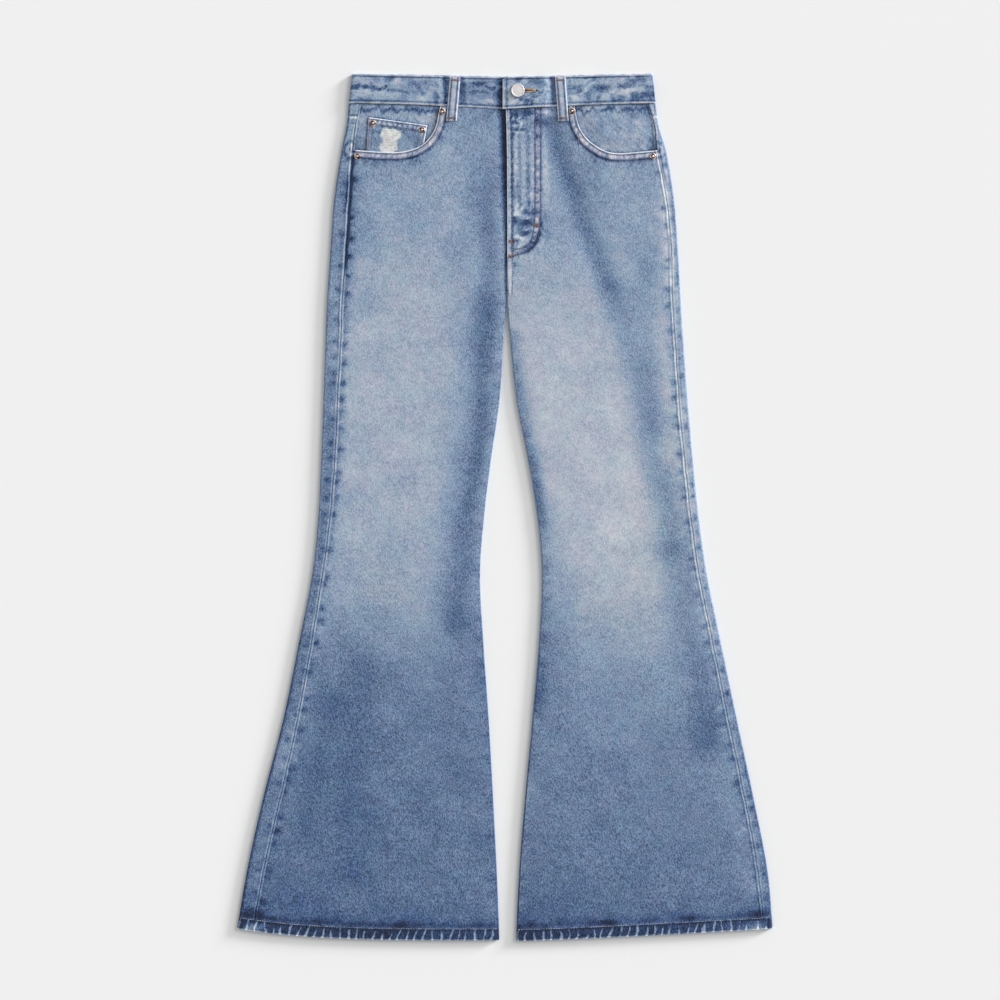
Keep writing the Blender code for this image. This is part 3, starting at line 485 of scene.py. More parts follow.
def frontSpots(side):
    spots = []
    inward = towards[side]
    outseam = seamLine(side, "Seam", -515, 440)
    for k, (offset, tone) in enumerate(outseamPuckers[side]):
        seed = 31 + k + 10 * (side == "left")
        spots += puckersAlong(outseam, 22, inward * offset, (3.8, 2.8), tone, tone, seed)
    inseam = seamLine(side, "Inner", -515, 225)
    spots += puckersAlong(inseam, 25, -inward * 5, (6.0, 4.0), -0.12, -0.2, 51)
    spots += puckersAlong(inseam, 25, -inward * 6, (6.0, 4.0), 0.07, 0.12, 52)
    # dips in the turned-up hem, and dark patches over its stitching
    hem = hemLine(side, 60)
    spots += puckersAlong(hem, 17, inward * 6.4, (5.5, 5.0), 0.0, -0.35, 61)
    spots += puckersAlong(hem, 17, inward * 19.5, (5.0, 6.5), -0.16, -0.2, 63)
    outer = hem[0, 0]
    spots += [(outer + inward * 20, -508, 13, 6, 0, -0.42, -0.2),
              (outer + inward * 20, -526, 13, 5, 0, 0.40, 0.2),
              (outer + inward * 4, -522, 5, 6, 0, -0.40, 0)]
    # round the pocket's edge: beads between the two rows of stitching
    rim = pocketLine[side]
    spots += puckersAlong(rim, 6.4, inward * 5.2, (2.8, 1.7), 0.34, 0.26, 71, jitter=0.15)
    spots += puckersAlong(rim, 6.4, inward * 5.6, (3.2, 1.2), -0.24, -0.2, 72, jitter=0.2)
    spots += puckersAlong(rim, 11, inward * 13.5, (5.0, 3.6), -0.18, -0.15, 73)
    for on, itsSide, px, py in rivetPlaces.values():
        if on == "front" and itsSide == side:
            spots.append((px, py, 6.5, 6.5, 0, 0.22, 0.1))
    band = np.stack([np.linspace(-180, 180, 80), bandLowY(np.linspace(-180, 180, 80))], 1)
    spots += puckersAlong(band, 9, -4.5, (4.5, 2.8), -0.24, -0.18, 81)
    spots += puckersAlong(band, 14, -8.0, (5.0, 3.0), 0.08, 0.12, 82)
    if side == "right":
        edge = seamLine("right", "Inner", 250, 495, 40) - (3, 0)
        return spots + puckersAlong(edge, 13, -5, (5.0, 3.0), -0.10, -0.10, 94)
    return spots + flySpots()


# dark and light flecks on the fly: x, y, half length, half width, direction, tone
flyFlecks = [
    # just under the waistband
    (13.1, 489.7, 3.6, 4.4, 0, -1.2), (11.3, 480.8, 4.4, 1.8, 0, -0.9),
    (13.8, 472.5, 2.8, 2.2, 0, -0.7), (22.5, 471, 2.4, 1.8, 0, -0.6),
    (10.5, 466.5, 1.9, 1.2, 0, -0.6), (27.5, 492.8, 8.5, 3.4, 0, -0.8),
    (22.8, 486, 3.0, 3.2, 0, -0.5), (50, 479.4, 5.0, 5.5, 0, -0.3), (41.5, 482, 3.4, 8, 0, -0.4),
    (67, 492, 4, 9, 0, -0.4), (31, 478, 12, 12, 0, -0.12), (17.9, 486.9, 1.3, 3.6, -0.2, 0.9),
    (20.4, 479.4, 1.5, 3.6, 0.1, 0.9), (9, 483.8, 1.5, 1.3, 0, 0.7), (50.6, 493.3, 5.5, 3.0, 0, 0.4),
    (11.2, 476.3, 3, 1.3, 0, 0.6), (17.5, 468, 5, 1.3, 0, 0.4), (30, 478, 2, 5, 0.2, 0.2),
    (36, 486, 1.6, 5, 0, 0.25),
    # long streaks
    (13.5, 425, 2.0, 46, 0, 0.22), (18.5, 440, 1.6, 26, 0, -0.18), (23, 415, 2.2, 50, 0, 0.2),
    (29, 430, 1.8, 36, 0.02, -0.28), (34, 400, 2.0, 60, 0, 0.18), (29, 385, 2.2, 20, 0, -0.2),
    (51, 430, 4.0, 42, 0.02, 0.20), (19, 380, 2.0, 14, 0.1, -0.26), (15, 398, 1.6, 9, -0.3, -0.24),
    # the dark, mottled bend of the J
    (26.2, 367.5, 3.6, 2.8, 0, -1.0), (34.5, 367.5, 2.0, 6.5, 0, -0.7),
    (27.5, 355.4, 6.0, 4.2, 0, -1.1), (12.5, 358.4, 3.1, 4.0, 0, -0.9), (20, 352, 7.0, 9.0, 0, -0.3),
    (25.6, 342.5, 6.2, 3.1, 0.2, -0.9), (45.6, 352, 1.8, 4.0, 0, -0.7),
    (14.4, 332, 4.4, 1.6, 0, -0.6), (42, 339, 2.6, 5.0, -0.4, -0.5), (34, 326.5, 5.0, 3.0, 0.6, -0.6),
    (24, 318, 5.0, 2.6, 0.4, -0.5), (49, 362, 7, 6, 0.3, -0.2), (52, 344, 6, 9, 0.3, -0.16),
    (13.8, 365.5, 3.2, 2.0, 0, 0.7), (16, 371, 8.0, 1.3, -1.08, 0.45), (26.9, 347.6, 3.2, 1.2, 0, 0.6),
    (16.9, 337.5, 6.8, 1.8, -0.43, 0.6), (18.3, 325, 1.7, 5.0, -0.2, 0.35), (20.9, 316.6, 1.3, 2.2, 0, 0.6),
    (40.3, 359.3, 2.2, 3.4, 0, 0.7), (39.4, 347.4, 3.1, 1.2, 0, 0.6), (30, 361.2, 3.2, 1.2, 0.2, 0.5),
    (13, 303, 4, 3, 0, -0.3), (21, 373, 1.5, 5, -0.4, 0.3),
    (37, 331, 7.5, 3.4, 0.8, -0.42), (27, 322, 6.5, 3.0, 0.45, -0.36), (42.5, 343, 3.0, 5.5, 0, -0.3),
    (16, 317, 4.5, 2.4, 0.2, -0.22), (30.5, 378, 4.0, 3.0, 0.3, -0.3), (41, 368, 3.4, 5.0, 0, -0.5),
]


def flySpots():
    j = flyJ()
    spots = puckersAlong(j, 7, -3.5, (3.0, 1.9), 0.28, 0.2, 91)
    spots += puckersAlong(j, 6, -3.5, (3.2, 1.3), -0.30, -0.2, 92)
    edge = seamLine("left", "Inner", 320, 495, 40)
    spots += puckersAlong(edge, 4.2, 6.2, (1.8, 1.1), -0.45, -0.2, 93)
    return spots + [(*fleck, 0.3 * fleck[-1]) for fleck in flyFlecks]


spotsOf = {side: frontSpots(side) for side in sides}
# where the outseam is darker or brighter: lower end, upper end, distance inward, half width, tone
seamAccents = {
    "right": [(295, 460, 1.9, 1.2, -0.95), (215, 460, -1.2, 1.1, 0.22), (190, 270, -2.6, 1.2, -0.2),
              (370, 410, -3.0, 1.6, -0.4)],
    "left": [(405, 460, -2.6, 1.5, -0.46), (290, 350, 1.3, 1.1, -0.32), (130, 200, -3.4, 1.6, -0.2)],
}
# light and dark lines along seams, edges and rows: distance, half width, tone, lift. The band's line
# is painted shade under the waistband's edge, and the rim's last line is painted shade just outside
# its raised band
frontLines = {
    "outseam": [(1.7, 1.0, 0, 0.26), (0.1, 0.8, 0, -0.14), (-1.7, 1.0, 0, 0.20), (4.2, 1.2, 0, -0.15)],
    "hem": [(14.0, 0.8, 0, -0.25), (12.6, 0.8, -0.16, 0)],
    "band": [(0.0, 1.5, -0.30, 0)],
    "rim": [(0.0, 0.6, 0, -0.35), (2.2, 0.8, 0, -0.28), (2.2, 0.85, -0.46, 0), (8.7, 0.8, 0, -0.28),
            (8.7, 0.85, -0.46, 0), (10.2, 1.1, -0.36, 0)],
    "flyEdge": [(2.6, 2.2, 0, 0.45), (6.4, 0.9, 0, -0.35), (6.2, 1.3, -0.44, 0)],
    "flyRow": [(0.0, 0.95, -0.42, 0), (0.0, 0.9, 0, -0.2)],
}


def withLines(tone, lift, distance, lines, share=1.0):
    # the tone and lift with a set of lines added, each by its share there
    for at, width, lineTone, lineLift in lines:
        weight = share * nearness(distance, at, width)
        tone, lift = tone + lineTone * weight, lift + lineLift * weight
    return tone, lift


def frontLook(side, x, y):
    # tone and lift of a front, or of the strip of the back that wraps round to meet it
    flecks, lift = spotField(x, y, spotsOf[side])
    # bands of wash with painted shade and light, and on the right front the painted shadow along the fly
    shadeTone, shadeLift = shadeField(x, y, washAndShadeBands[side])
    fromFly = x - legEdge("left", "Inner", y)
    if side == "left":
        onFly = smoothStep(form["flyBottomY"] - 12, form["flyBottomY"] + 2, y)
        mottled = onFly * (1 - smoothStep(42, 52, fromFly))
        flecks += mottled * (0.07 * ripple(1.8 * x, 0.6 * y, 7, 95) + 0.06 * ripple(x, y, 5, 96))
    else:
        heights, *values = zip(*flyShadow)
        depth, width, start = (np.interp(y, heights, column) for column in values)
        shadeTone -= depth * smoothStep(252, 266, y) * nearness(np.minimum(0, fromFly + start), 0, width)
    tone = inked(washTone(side, x, y) + shadeTone, flecks)
    lift += shadeLift + 0.12 * ripple(x, y, 85, 21) + 0.05 * ripple(x, y, 22, 22)
    # the outseam
    inward = seamDistance(side, x, y)
    tone -= 0.10 * nearness(inward, 5, 6) * smoothStep(-120, 0, y)
    tone, lift = withLines(tone, lift, inward, frontLines["outseam"])
    for low, high, at, width, strength in seamAccents[side]:
        along = smoothStep(low - 15, low + 15, y) * (1 - smoothStep(high - 15, high + 15, y))
        tone += strength * along * nearness(inward, at, width)
    # the turned-up hem, and painted shade along the edge under the waistband
    aboveHem = y - hemEdgeY(side, x)
    tone, lift = withLines(tone, lift, aboveHem, frontLines["hem"])
    lift += 0.45 * (1 - smoothStep(14.6, 16.0, aboveHem))
    tone -= 0.14 * (1 - smoothStep(13.0, 15.2, aboveHem))
    tone -= (0.13 + 0.05 * ripple(x, 0 * y, 45, 24)) * nearness(aboveHem, 18.5, 3.6)
    tone, lift = withLines(tone, lift, bandLowY(x) - y, frontLines["band"])
    # the pocket's rim, with painted shade just outside its raised band
    fromRim = lineDistance(x, y, pocketLine[side])
    tone, lift = withLines(tone, lift, fromRim, frontLines["rim"])
    tone += 0.09 * (1 - smoothStep(8.0, 9.0, fromRim))
    lift += 0.55 * (1 - smoothStep(8.8, 10.2, fromRim))
    if side == "right":
        return tone, lift
    # the fly's edge and its double row
    tone, lift = withLines(tone, lift, fromFly, frontLines["flyEdge"], onFly)
    # a lighter band along the fly's raised edge: painted highlight
    tone += onFly * 0.10 * (1 - smoothStep(3.8, 5.0, fromFly))
    for row in (0.0, -7.0):
        fromRow = lineDistance(x, y, movedOut(flyJ(), row))
        tone, lift = withLines(tone, lift, fromRow, frontLines["flyRow"], fromFly > 7)
    # the seat seam comes out from under the fly as a narrow ridge
    onSeam = smoothStep(262, 270, y) * (1 - smoothStep(300, 312, y))
    half = 1.6 + 2.6 * smoothStep(262, 300, y)
    away = np.abs(fromFly - 4.5)
    lift += 0.45 * onSeam * (1 - smoothStep(half - 0.6, half + 0.6, away))
    tone += 0.16 * onSeam * (1 - smoothStep(half - 0.8, half, away))
    tone -= 0.26 * onSeam * nearness(away, half + 0.5, 0.7)
    return tone, lift


# places with a creamier cast: middle, half width, half height, strength
creamPatches = {
    "right": [(-150, -125, 45, 60, 0.6)],
    "left": [(192, -25, 40, 110, 0.55), (130, -135, 60, 50, 0.35)],
}


def frontWarmth(side, x, y):
    # above 0 where pinkish thread shows through: the pocket's rim and the fly's double row
    fromRim = lineDistance(x, y, pocketLine[side])
    warm = 0.8 * smoothStep(1.0, 2.0, fromRim) * (1 - smoothStep(8.4, 9.6, fromRim))
    if side == "left":
        fromRows = lineDistance(x, y, movedOut(flyJ(), -3.5))
        warm = np.maximum(warm, 0.8 * (1 - smoothStep(3.0, 4.4, fromRows)))
    for middleX, middleY, width, height, strength in creamPatches[side]:
        warm = warm - strength * nearness(x, middleX, width) * nearness(y, middleY, height)
    return warm


def frontSurface(side, x, y):
    return frontHeight(side, x, y) + frontLook(side, x, y)[1] * smoothStep(0, 6, y + 545)


# ---- making sheets ----

# what a sheet's mesh tells the denim: its lightness, painted shade and light included, how far its
# worn edge, the outseam and the hem are, and how much pinkish (above 0) or creamy (below 0) thread shows
wearAndShadeNames = ("wash", "edge", "seam", "warm", "hem")


def linkObject(obj):
    scene.collection.objects.link(obj)
    return obj


def gridObject(name, grid, flip, tone, edge=far, seam=far, warm=0.0, hem=far):
    # an open surface through a grid of points, columns first
    columns, rows = grid.shape[:2]
    index = np.arange(columns * rows).reshape(columns, rows)
    if flip:
        index = index[::-1]
    faces = np.stack([index[:-1, :-1], index[1:, :-1], index[1:, 1:], index[:-1, 1:]], -1)
    faces = faces.reshape(-1, 4)
    mesh = bpy.data.meshes.new(name)
    mesh.vertices.add(columns * rows)
    mesh.vertices.foreach_set("co", (grid * mm).ravel())
    mesh.loops.add(faces.size)
    mesh.loops.foreach_set("vertex_index", faces.ravel())
    mesh.polygons.add(len(faces))
    mesh.polygons.foreach_set("loop_start", np.arange(0, faces.size, 4))
    mesh.update(calc_edges=True)
    mesh.shade_smooth()
    for key, values in zip(wearAndShadeNames, (tone, edge, seam, warm, hem)):
        values = np.broadcast_to(np.asarray(values, np.float32), (columns, rows))
        layer = mesh.attributes.new(key, "FLOAT", "POINT")
        layer.data.foreach_set("value", np.ascontiguousarray(values).ravel())
    return linkObject(bpy.data.objects.new(name, mesh))


def applyModifier(obj, modifier):
    bpy.context.view_layer.objects.active = obj
    bpy.ops.object.modifier_apply(modifier=modifier.name)


def addThickness(obj, thickness):
    wall = obj.modifiers.new("cloth", "SOLIDIFY")
    wall.thickness = thickness * mm
    wall.offset = -1
    wall.use_even_offset = True
    applyModifier(obj, wall)


def finishSheet(obj, material, node):
    obj.data.materials.append(material)
    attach(obj, "root")
    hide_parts(node)


def pieceName(node):
    # a node's name in camelCase
    first, *others = node.split("_")
    return first + "".join(word.capitalize() for word in others)


# ---- materials ----

def linear(*rgb):
    return tuple(c / 255 / 12.92 if c <= 10 else ((c / 255 + 0.055) / 1.055) ** 2.4 for c in rgb) + (1,)


def feed(tree, socket, value):
    # a socket takes another node's output, or a plain number or colour
    if hasattr(value, "is_output"):
        tree.links.new(value, socket)
    else:
        socket.default_value = value


def addNode(tree, kind, inputs=None, **settings):
    node = tree.nodes.new("ShaderNode" + kind)
    for key, value in settings.items():
        setattr(node, key, value)
    for key, value in (inputs or {}).items():
        feed(tree, node.inputs[key], value)
    return node


def rangeOf(tree, value, low, high, start=0.0, end=1.0, kind="SMOOTHSTEP"):
    # start below low, end above high, and between them a soft or a straight change
    given = dict(enumerate((value, low, high, start, end)))
    return addNode(tree, "MapRange", given, interpolation_type=kind).outputs[0]


def calculate(tree, operation, *values, clamp=False):
    given = dict(enumerate(values))
    return addNode(tree, "Math", given, operation=operation, use_clamp=clamp).outputs[0]


def scatter(tree, value, factor, tone):
    # noise about its middle, times a factor, added to a tone
    return calculate(tree, "MULTIPLY_ADD", calculate(tree, "SUBTRACT", value, 0.5), factor, tone)


def multiplied(tree, factor, first, second):
    # a colour times another one, as far as the factor says
    given = {"Factor": factor, 6: first, 7: second}
    return addNode(tree, "Mix", given, data_type="RGBA", blend_type="MULTIPLY").outputs[2]


def slanted(tree, vector, degrees, stretch=(1, 1, 1)):
    given = {"Rotation": (0, 0, math.radians(degrees)), "Scale": stretch, "Vector": vector}
    return addNode(tree, "Mapping", given, vector_type="TEXTURE").outputs[0]


def noiseOf(tree, vector, scale, detail=2.0, roughness=0.5):
    # noise whose features are about one over scale across
    given = {"Scale": scale, "Detail": detail, "Roughness": roughness, "Vector": vector}
    return addNode(tree, "TexNoise", given).outputs[0]


def rampOf(tree, value, stops):
    ramp = addNode(tree, "ValToRGB", {0: value})
    elements = ramp.color_ramp.elements
    elements.remove(elements[1])
    for k, (position, colour) in enumerate(stops):
        stop = elements[0] if k == 0 else elements.new(position)
        stop.position = position
        stop.color = colour
    return ramp.outputs[0]


def addBump(tree, shader, height, strength, depth):
    given = {"Strength": strength, "Distance": depth, "Height": height}
    feed(tree, shader.inputs["Normal"], addNode(tree, "Bump", given).outputs[0])


denimLook = {
    # how strongly each kind of noise shows in the tone, and the weave in the colour
    "fine": 0.82, "slant": 0.47, "ownTone": 0.05, "mottle": 0.215, "cloud": 0.14,
    "weaveFade": (0.30, 0.85, 1.0, 0.16), "weaveDepth": (0.35, 0.0004),
    # how much lighter a worn edge is, and where it ends
    "edgeLine": 0.42, "edgeWidth": (0.9, 1.7),
    # lines along the outseam: distance inward, half width, tone
    "seamLines": [(1.7, 1.2, 0.24), (-1.6, 1.2, 0.17), (0.1, 1.0, -0.06), (3.8, 1.3, -0.12)],
    # the hem's light bars and dark ground, their lean in degrees and its height
    "hemBars": 0.52, "hemDark": 0.085, "hemLean": -9, "hemHeight": (13.2, 14.6),
    "hemWave": {"Scale": 0.030, "Distortion": 3.6, "Detail": 1.0, "Detail Scale": 1.6},
    # lightness, then colour as it looks in the photo; the greyer darkest stop also colours the painted
    # shadows
    "tones": [(0.0, (34, 46, 70)), (0.10, (48, 67, 103)), (0.22, (68, 92, 131)),
              (0.35, (88, 111, 143)), (0.47, (110, 131, 161)), (0.62, (135, 156, 181)),
              (0.72, (157, 171, 189)), (0.80, (174, 184, 198)), (0.90, (197, 203, 210)),
              (1.0, (224, 227, 230))],
    "warmth": (1.08, 0.95, 0.95, 1), "cream": (0.99, 0.975, 0.91, 1),
    # a faint pinkish or greenish cast, in patches
    "casts": [(0.36, (1.05, 0.985, 1.01, 1)), (0.64, (0.95, 1.0, 1.0, 1))],
    "roughness": (0.95, 0.8), "sheen": 0.12, "specular": 0.25,
}


def makeDenimGroup():
    group = bpy.data.node_groups.new("wornDenim", "ShaderNodeTree")
    for name in ("Vector", *(name.capitalize() for name in wearAndShadeNames)):
        kind = "NodeSocketVector" if name == "Vector" else "NodeSocketFloat"
        group.interface.new_socket(name, in_out="INPUT", socket_type=kind)
    for name, kind in (("Color", "Color"), ("Height", "Float"), ("Roughness", "Float")):
        group.interface.new_socket(name, in_out="OUTPUT", socket_type="NodeSocket" + kind)
    look = denimLook
    given = group.nodes.new("NodeGroupInput").outputs
    made = group.nodes.new("NodeGroupOutput").inputs
    toMillimetres = {0: given["Vector"], "Scale": 1 / mm}
    place = addNode(group, "VectorMath", toMillimetres, operation="SCALE").outputs[0]
    # noises in millimetres: the weave straight and slanted, mottling and clouds
    fine = noiseOf(group, slanted(group, place, 4, (1, 1.7, 1)), 0.74, 2, 0.6)
    slant = noiseOf(group, slanted(group, place, 24, (1, 2.5, 1)), 0.62, 2, 0.6)
    fine, slant = (rangeOf(group, noise, 0.34, 0.66) for noise in (fine, slant))
    mottle = noiseOf(group, place, 0.12, 3, 0.6)
    cloud = noiseOf(group, place, 0.022, 2, 0.5)
    tone = scatter(group, fine, look["ownTone"], given["Wash"])
    tone = scatter(group, mottle, look["mottle"], tone)
    tone = scatter(group, cloud, look["cloud"], tone)
    # worn light lines along edges, broken up by the mottling
    broken = rangeOf(group, mottle, 0.36, 0.6, 0.45, 1.15, "LINEAR")
    edge = rangeOf(group, given["Edge"], *look["edgeWidth"], 1.0, 0.0)
    worn = calculate(group, "MULTIPLY", edge, broken)
    tone = calculate(group, "MULTIPLY_ADD", worn, look["edgeLine"], tone)
    for at, half, strength in look["seamLines"]:
        away = calculate(group, "ABSOLUTE", calculate(group, "SUBTRACT", given["Seam"], at))
        line = calculate(group, "MULTIPLY", rangeOf(group, away, 0.4, half, 1.0, 0.0), broken)
        tone = calculate(group, "MULTIPLY_ADD", line, strength, tone)
    # the turned-up hem: light bars between dark blocks, wider towards its edge
    wave = {"Vector": slanted(group, place, look["hemLean"]), **look["hemWave"]}
    bars = addNode(group, "TexWave", wave).outputs["Fac"]
    level = scatter(group, noiseOf(group, place, 0.09, 2), 0.7, bars)
    level = calculate(group, "MULTIPLY_ADD", given["Hem"], -0.014, level)
    light = rangeOf(group, level, 0.70, 0.92)
    light = calculate(group, "MULTIPLY_ADD", light, look["hemBars"], -look["hemDark"])
    onHem = rangeOf(group, given["Hem"], *look["hemHeight"], 1.0, 0.0)
    tone = calculate(group, "MULTIPLY_ADD", light, onHem, tone)
    colour = rampOf(group, tone, [(at, linear(*shown)) for at, shown in look["tones"]])
    cast = rampOf(group, noiseOf(group, place, 0.045, 3, 0.6), look["casts"])
    colour = multiplied(group, 1.0, colour, cast)
    colour = multiplied(group, given["Warm"], colour, look["warmth"])
    bare = calculate(group, "MULTIPLY", given["Warm"], -1.0, clamp=True)
    colour = multiplied(group, bare, colour, look["cream"])
    # the weave's own light and dark, alike in every colour and weaker where it is faded
    grain = scatter(group, fine, look["fine"], 0.0)
    grain = scatter(group, slant, look["slant"], grain)
    strength = rangeOf(group, tone, *look["weaveFade"], "LINEAR")
    grain = calculate(group, "MULTIPLY_ADD", grain, strength, 1.0)
    grey = addNode(group, "CombineColor", {0: grain, 1: grain, 2: grain}).outputs[0]
    feed(group, made["Color"], multiplied(group, 1.0, colour, grey))
    raised = calculate(group, "MULTIPLY", calculate(group, "ADD", fine, slant), strength)
    feed(group, made["Height"], raised)
    feed(group, made["Roughness"], rangeOf(group, tone, 0.0, 1.0, *look["roughness"], "LINEAR"))
    return group


def newMaterial(name):
    material = bpy.data.materials.new(name)
    material.use_nodes = True
    return material, material.node_tree, material.node_tree.nodes["Principled BSDF"]


def objectPlace(tree):
    return addNode(tree, "TexCoord").outputs["Object"]


def makeDenim(name, group, turn=0.0):
    # the cloth, with its weave turned by some degrees
    material, tree, shader = newMaterial(name)
    given = {"Rotation": (0, 0, math.radians(turn)), "Vector": objectPlace(tree)}
    denim = addNode(tree, "Group", node_tree=group)
    feed(tree, denim.inputs["Vector"], addNode(tree, "Mapping", given).outputs[0])
    for attributeName in wearAndShadeNames:
        read = addNode(tree, "Attribute", attribute_name=attributeName)
        feed(tree, denim.inputs[attributeName.capitalize()], read.outputs["Fac"])
    feed(tree, shader.inputs["Base Color"], denim.outputs["Color"])
    feed(tree, shader.inputs["Roughness"], denim.outputs["Roughness"])
    shader.inputs["Sheen Weight"].default_value = denimLook["sheen"]
    shader.inputs["Specular IOR Level"].default_value = denimLook["specular"]
    addBump(tree, shader, denim.outputs["Height"], *denimLook["weaveDepth"])
    return material


threadLook = {
    "roughness": 0.7, "patches": 140.0, "twist": 900.0, "bump": (0.3, 0.0001),
    # the darkest and the lightest of each thread
    "colours": {
        "cream": ((150, 156, 170), (232, 231, 230)), "grey": ((70, 80, 108), (176, 180, 190)),
        "rose": ((66, 66, 86), (126, 120, 132)), "rust": ((84, 68, 70), (158, 130, 122)),
        "ochre": ((142, 108, 84), (202, 170, 138)),
    },
}


def makeThread(name, dark, light):
    material, tree, shader = newMaterial(name + "Thread")
    place = objectPlace(tree)
    patches = noiseOf(tree, place, threadLook["patches"])
    colour = rampOf(tree, patches, [(0.35, linear(*dark)), (0.62, linear(*light))])
    feed(tree, shader.inputs["Base Color"], colour)
    shader.inputs["Roughness"].default_value = threadLook["roughness"]
    twist = addNode(tree, "TexWave", {"Scale": threadLook["twist"], "Vector": place}).outputs["Fac"]
    addBump(tree, shader, twist, *threadLook["bump"])
    return material


metalLook = {
    # the button's near-white colour is a painted reflection, standing in for the bright shine of its steel
    "buttonSteel": {"dark": (226, 221, 220), "light": (238, 234, 233), "metallic": 0.35, "polishAndHighlight": 0.0},
    # the rivet's lightest colour is a painted highlight on its dome and rim
    "rivetCopper": {"dark": (62, 44, 38), "light": (236, 214, 204), "metallic": 0.85, "polishAndHighlight": 0.9},
}


def makeMetal(name):
    look = metalLook[name]
    material, tree, shader = newMaterial(name)
    noise = noiseOf(tree, objectPlace(tree), 260.0, 4.0)
    polishAndHighlight = addNode(tree, "Attribute", attribute_name="polishAndHighlight").outputs["Fac"]
    shine = scatter(tree, polishAndHighlight, look["polishAndHighlight"], noise)
    colour = rampOf(tree, shine, [(0.35, linear(*look["dark"])), (0.6, linear(*look["light"]))])
    feed(tree, shader.inputs["Base Color"], colour)
    shader.inputs["Metallic"].default_value = look["metallic"]
    feed(tree, shader.inputs["Roughness"], rangeOf(tree, noise, 0.3, 0.7, 0.26, 0.48, "LINEAR"))
    addBump(tree, shader, noise, 0.12, 0.0001)
    return material


print("materials")
denimGroup = makeDenimGroup()
panelDenim = makeDenim("panelDenim", denimGroup)
bandDenim = makeDenim("bandDenim", denimGroup, 60)
pocketDenim = makeDenim("pocketDenim", denimGroup, 5)
threads = {name: makeThread(name, *colours) for name, colours in threadLook["colours"].items()}
steel, copper = makeMetal("buttonSteel"), makeMetal("rivetCopper")

# ---- the leg panels ----

panelSteps = {
    "nearEdge": [0, 0.35, 0.8, 1.4, 2.1, 3.0, 4.0, 5.2, 6.5, 8.0, 9.6, 11.4, 13.4, 15.6, 18, 21, 24],
    "nearHem": [0, 0.3, 0.8, 1.4, 2.2, 3.2, 4.4, 5.6, 6.8, 8.0, 9.2, 10.4, 11.6, 12.6, 13.4, 14.1,
                14.7, 15.3, 16.2, 17.6, 19.4, 22, 25],
    # rows of the backs, then of the fronts up to a share of their height and over it
    "backRows": 290, "lowRows": 205, "highRows": 128, "highFrom": 0.8,
    # columns: fine between two shares of the width at the pocket's edge, and past one by the fly
    "fineStep": 1.25, "middleStep": 2.7, "typicalWidth": 142,
    "fine": {"right": (0.46, 0.64, 1.0), "left": (0.42, 0.60, 0.82)},
    "rolled": {"right": 7, "left": 3},  # columns of the inner edge, where it rolls under
}
rolledShade = 0.16  # the right front's rolled edge is in the shade of the gap


def rollStart(y, turn):
    # how far inside the folded edge a sheet starts to roll, and the radius of the roll
    share = legShare(y)
    radius = form["edgeRadius"] / np.maximum(share, 1e-5)
    length = form["edgeRadius"] * turn - cloth["gap"] * 1.1
    reach = radius * np.sin(np.minimum(length / radius, math.pi / 2))
    short = form["edgeRadius"] * (1 - math.sin(min(length / form["edgeRadius"], math.pi / 2)))
    return reach + short * share + cloth["gap"] / 2 * (1 - share), radius, length


def columnPlan(side):
    # each column of a front: distance from the outseam, share of the middle, distance on, roll
    near = panelSteps["nearEdge"]
    plan = [(d, 0.0, 0.0, 0.0) for d in near]
    rimNear, rimFar, flyNear = panelSteps["fine"][side]
    wide, fine = (panelSteps[step] / panelSteps["typicalWidth"] for step in ("middleStep", "fineStep"))
    share = 0.0
    while share < 1:
        share += fine if rimNear < share < rimFar or share > flyNear else wide
        if share < 1 - wide / 2:
            plan.append((near[-1], share, 0.0, 0.0))
    plan += [(near[-1], 1.0, near[-1] - d, 0.0) for d in near[::-1]]
    _, _, length = rollStart(np.array(0.0), frontRoll[side])
    rolled = panelSteps["rolled"][side]
    return np.array(plan + [(*plan[-1][:3], length * k / rolled) for k in range(1, rolled + 1)])


def frontPlace(side, plan, y):
    # x and z of the front's outer face, for columns by rows
    inward = towards[side]
    first, share, last, step = (plan[:, k][:, None] for k in range(4))
    start = legEdge(side, "Seam", y) + inward * cloth["gap"] / 2
    inset, radius, _ = rollStart(y, frontRoll[side])
    width = np.abs(legEdge(side, "Inner", y) - inward * inset - start)
    along = first + share * (width - 2 * panelSteps["nearEdge"][-1]) + last
    if side == "right":
        lap = smoothStep(form["flyBottomY"], form["flyBottomY"] + 20, y) * form["flyUnderlap"]
        along = along + lap * (along / width) ** 4
    x = start + inward * along
    z = frontHeight(side, x, y)
    turn = step / radius
    x = x + inward * radius * np.sin(turn) * (step > 0)
    z = np.where(legShare(y) == 0, frontHeight(side, x, y), z - radius * (1 - np.cos(turn)))
    return x, z


def rowsBetween(low, high, shares):
    hem, top = np.array(panelSteps["nearHem"]), np.array(panelSteps["nearEdge"])
    middle = low + hem[-1] + (high - low - hem[-1] - top[-1]) * shares[None, 1:-1]
    return np.hstack([low + hem[None], middle, high - top[None, ::-1]])


def frontRows(side, plan):
    # the heights of the rows in each column, and of the column's lower end
    hemX, _ = frontPlace(side, plan, np.full((len(plan), 1), form["hemY"]))
    low = hemEdgeY(side, hemX)
    high = np.full((len(plan), 1), 470.0)
    # a column's upper end shifts its x, so the end is found in steps
    for _ in range(60):
        x, _ = frontPlace(side, plan, high)
        high = 0.5 * high + 0.5 * frontTopY(side, x)
    fineFrom = panelSteps["highFrom"]
    shares = np.append(np.linspace(0, fineFrom, panelSteps["lowRows"])[:-1],
                       np.linspace(fineFrom, 1, panelSteps["highRows"]))
    return rowsBetween(low, high, shares), low


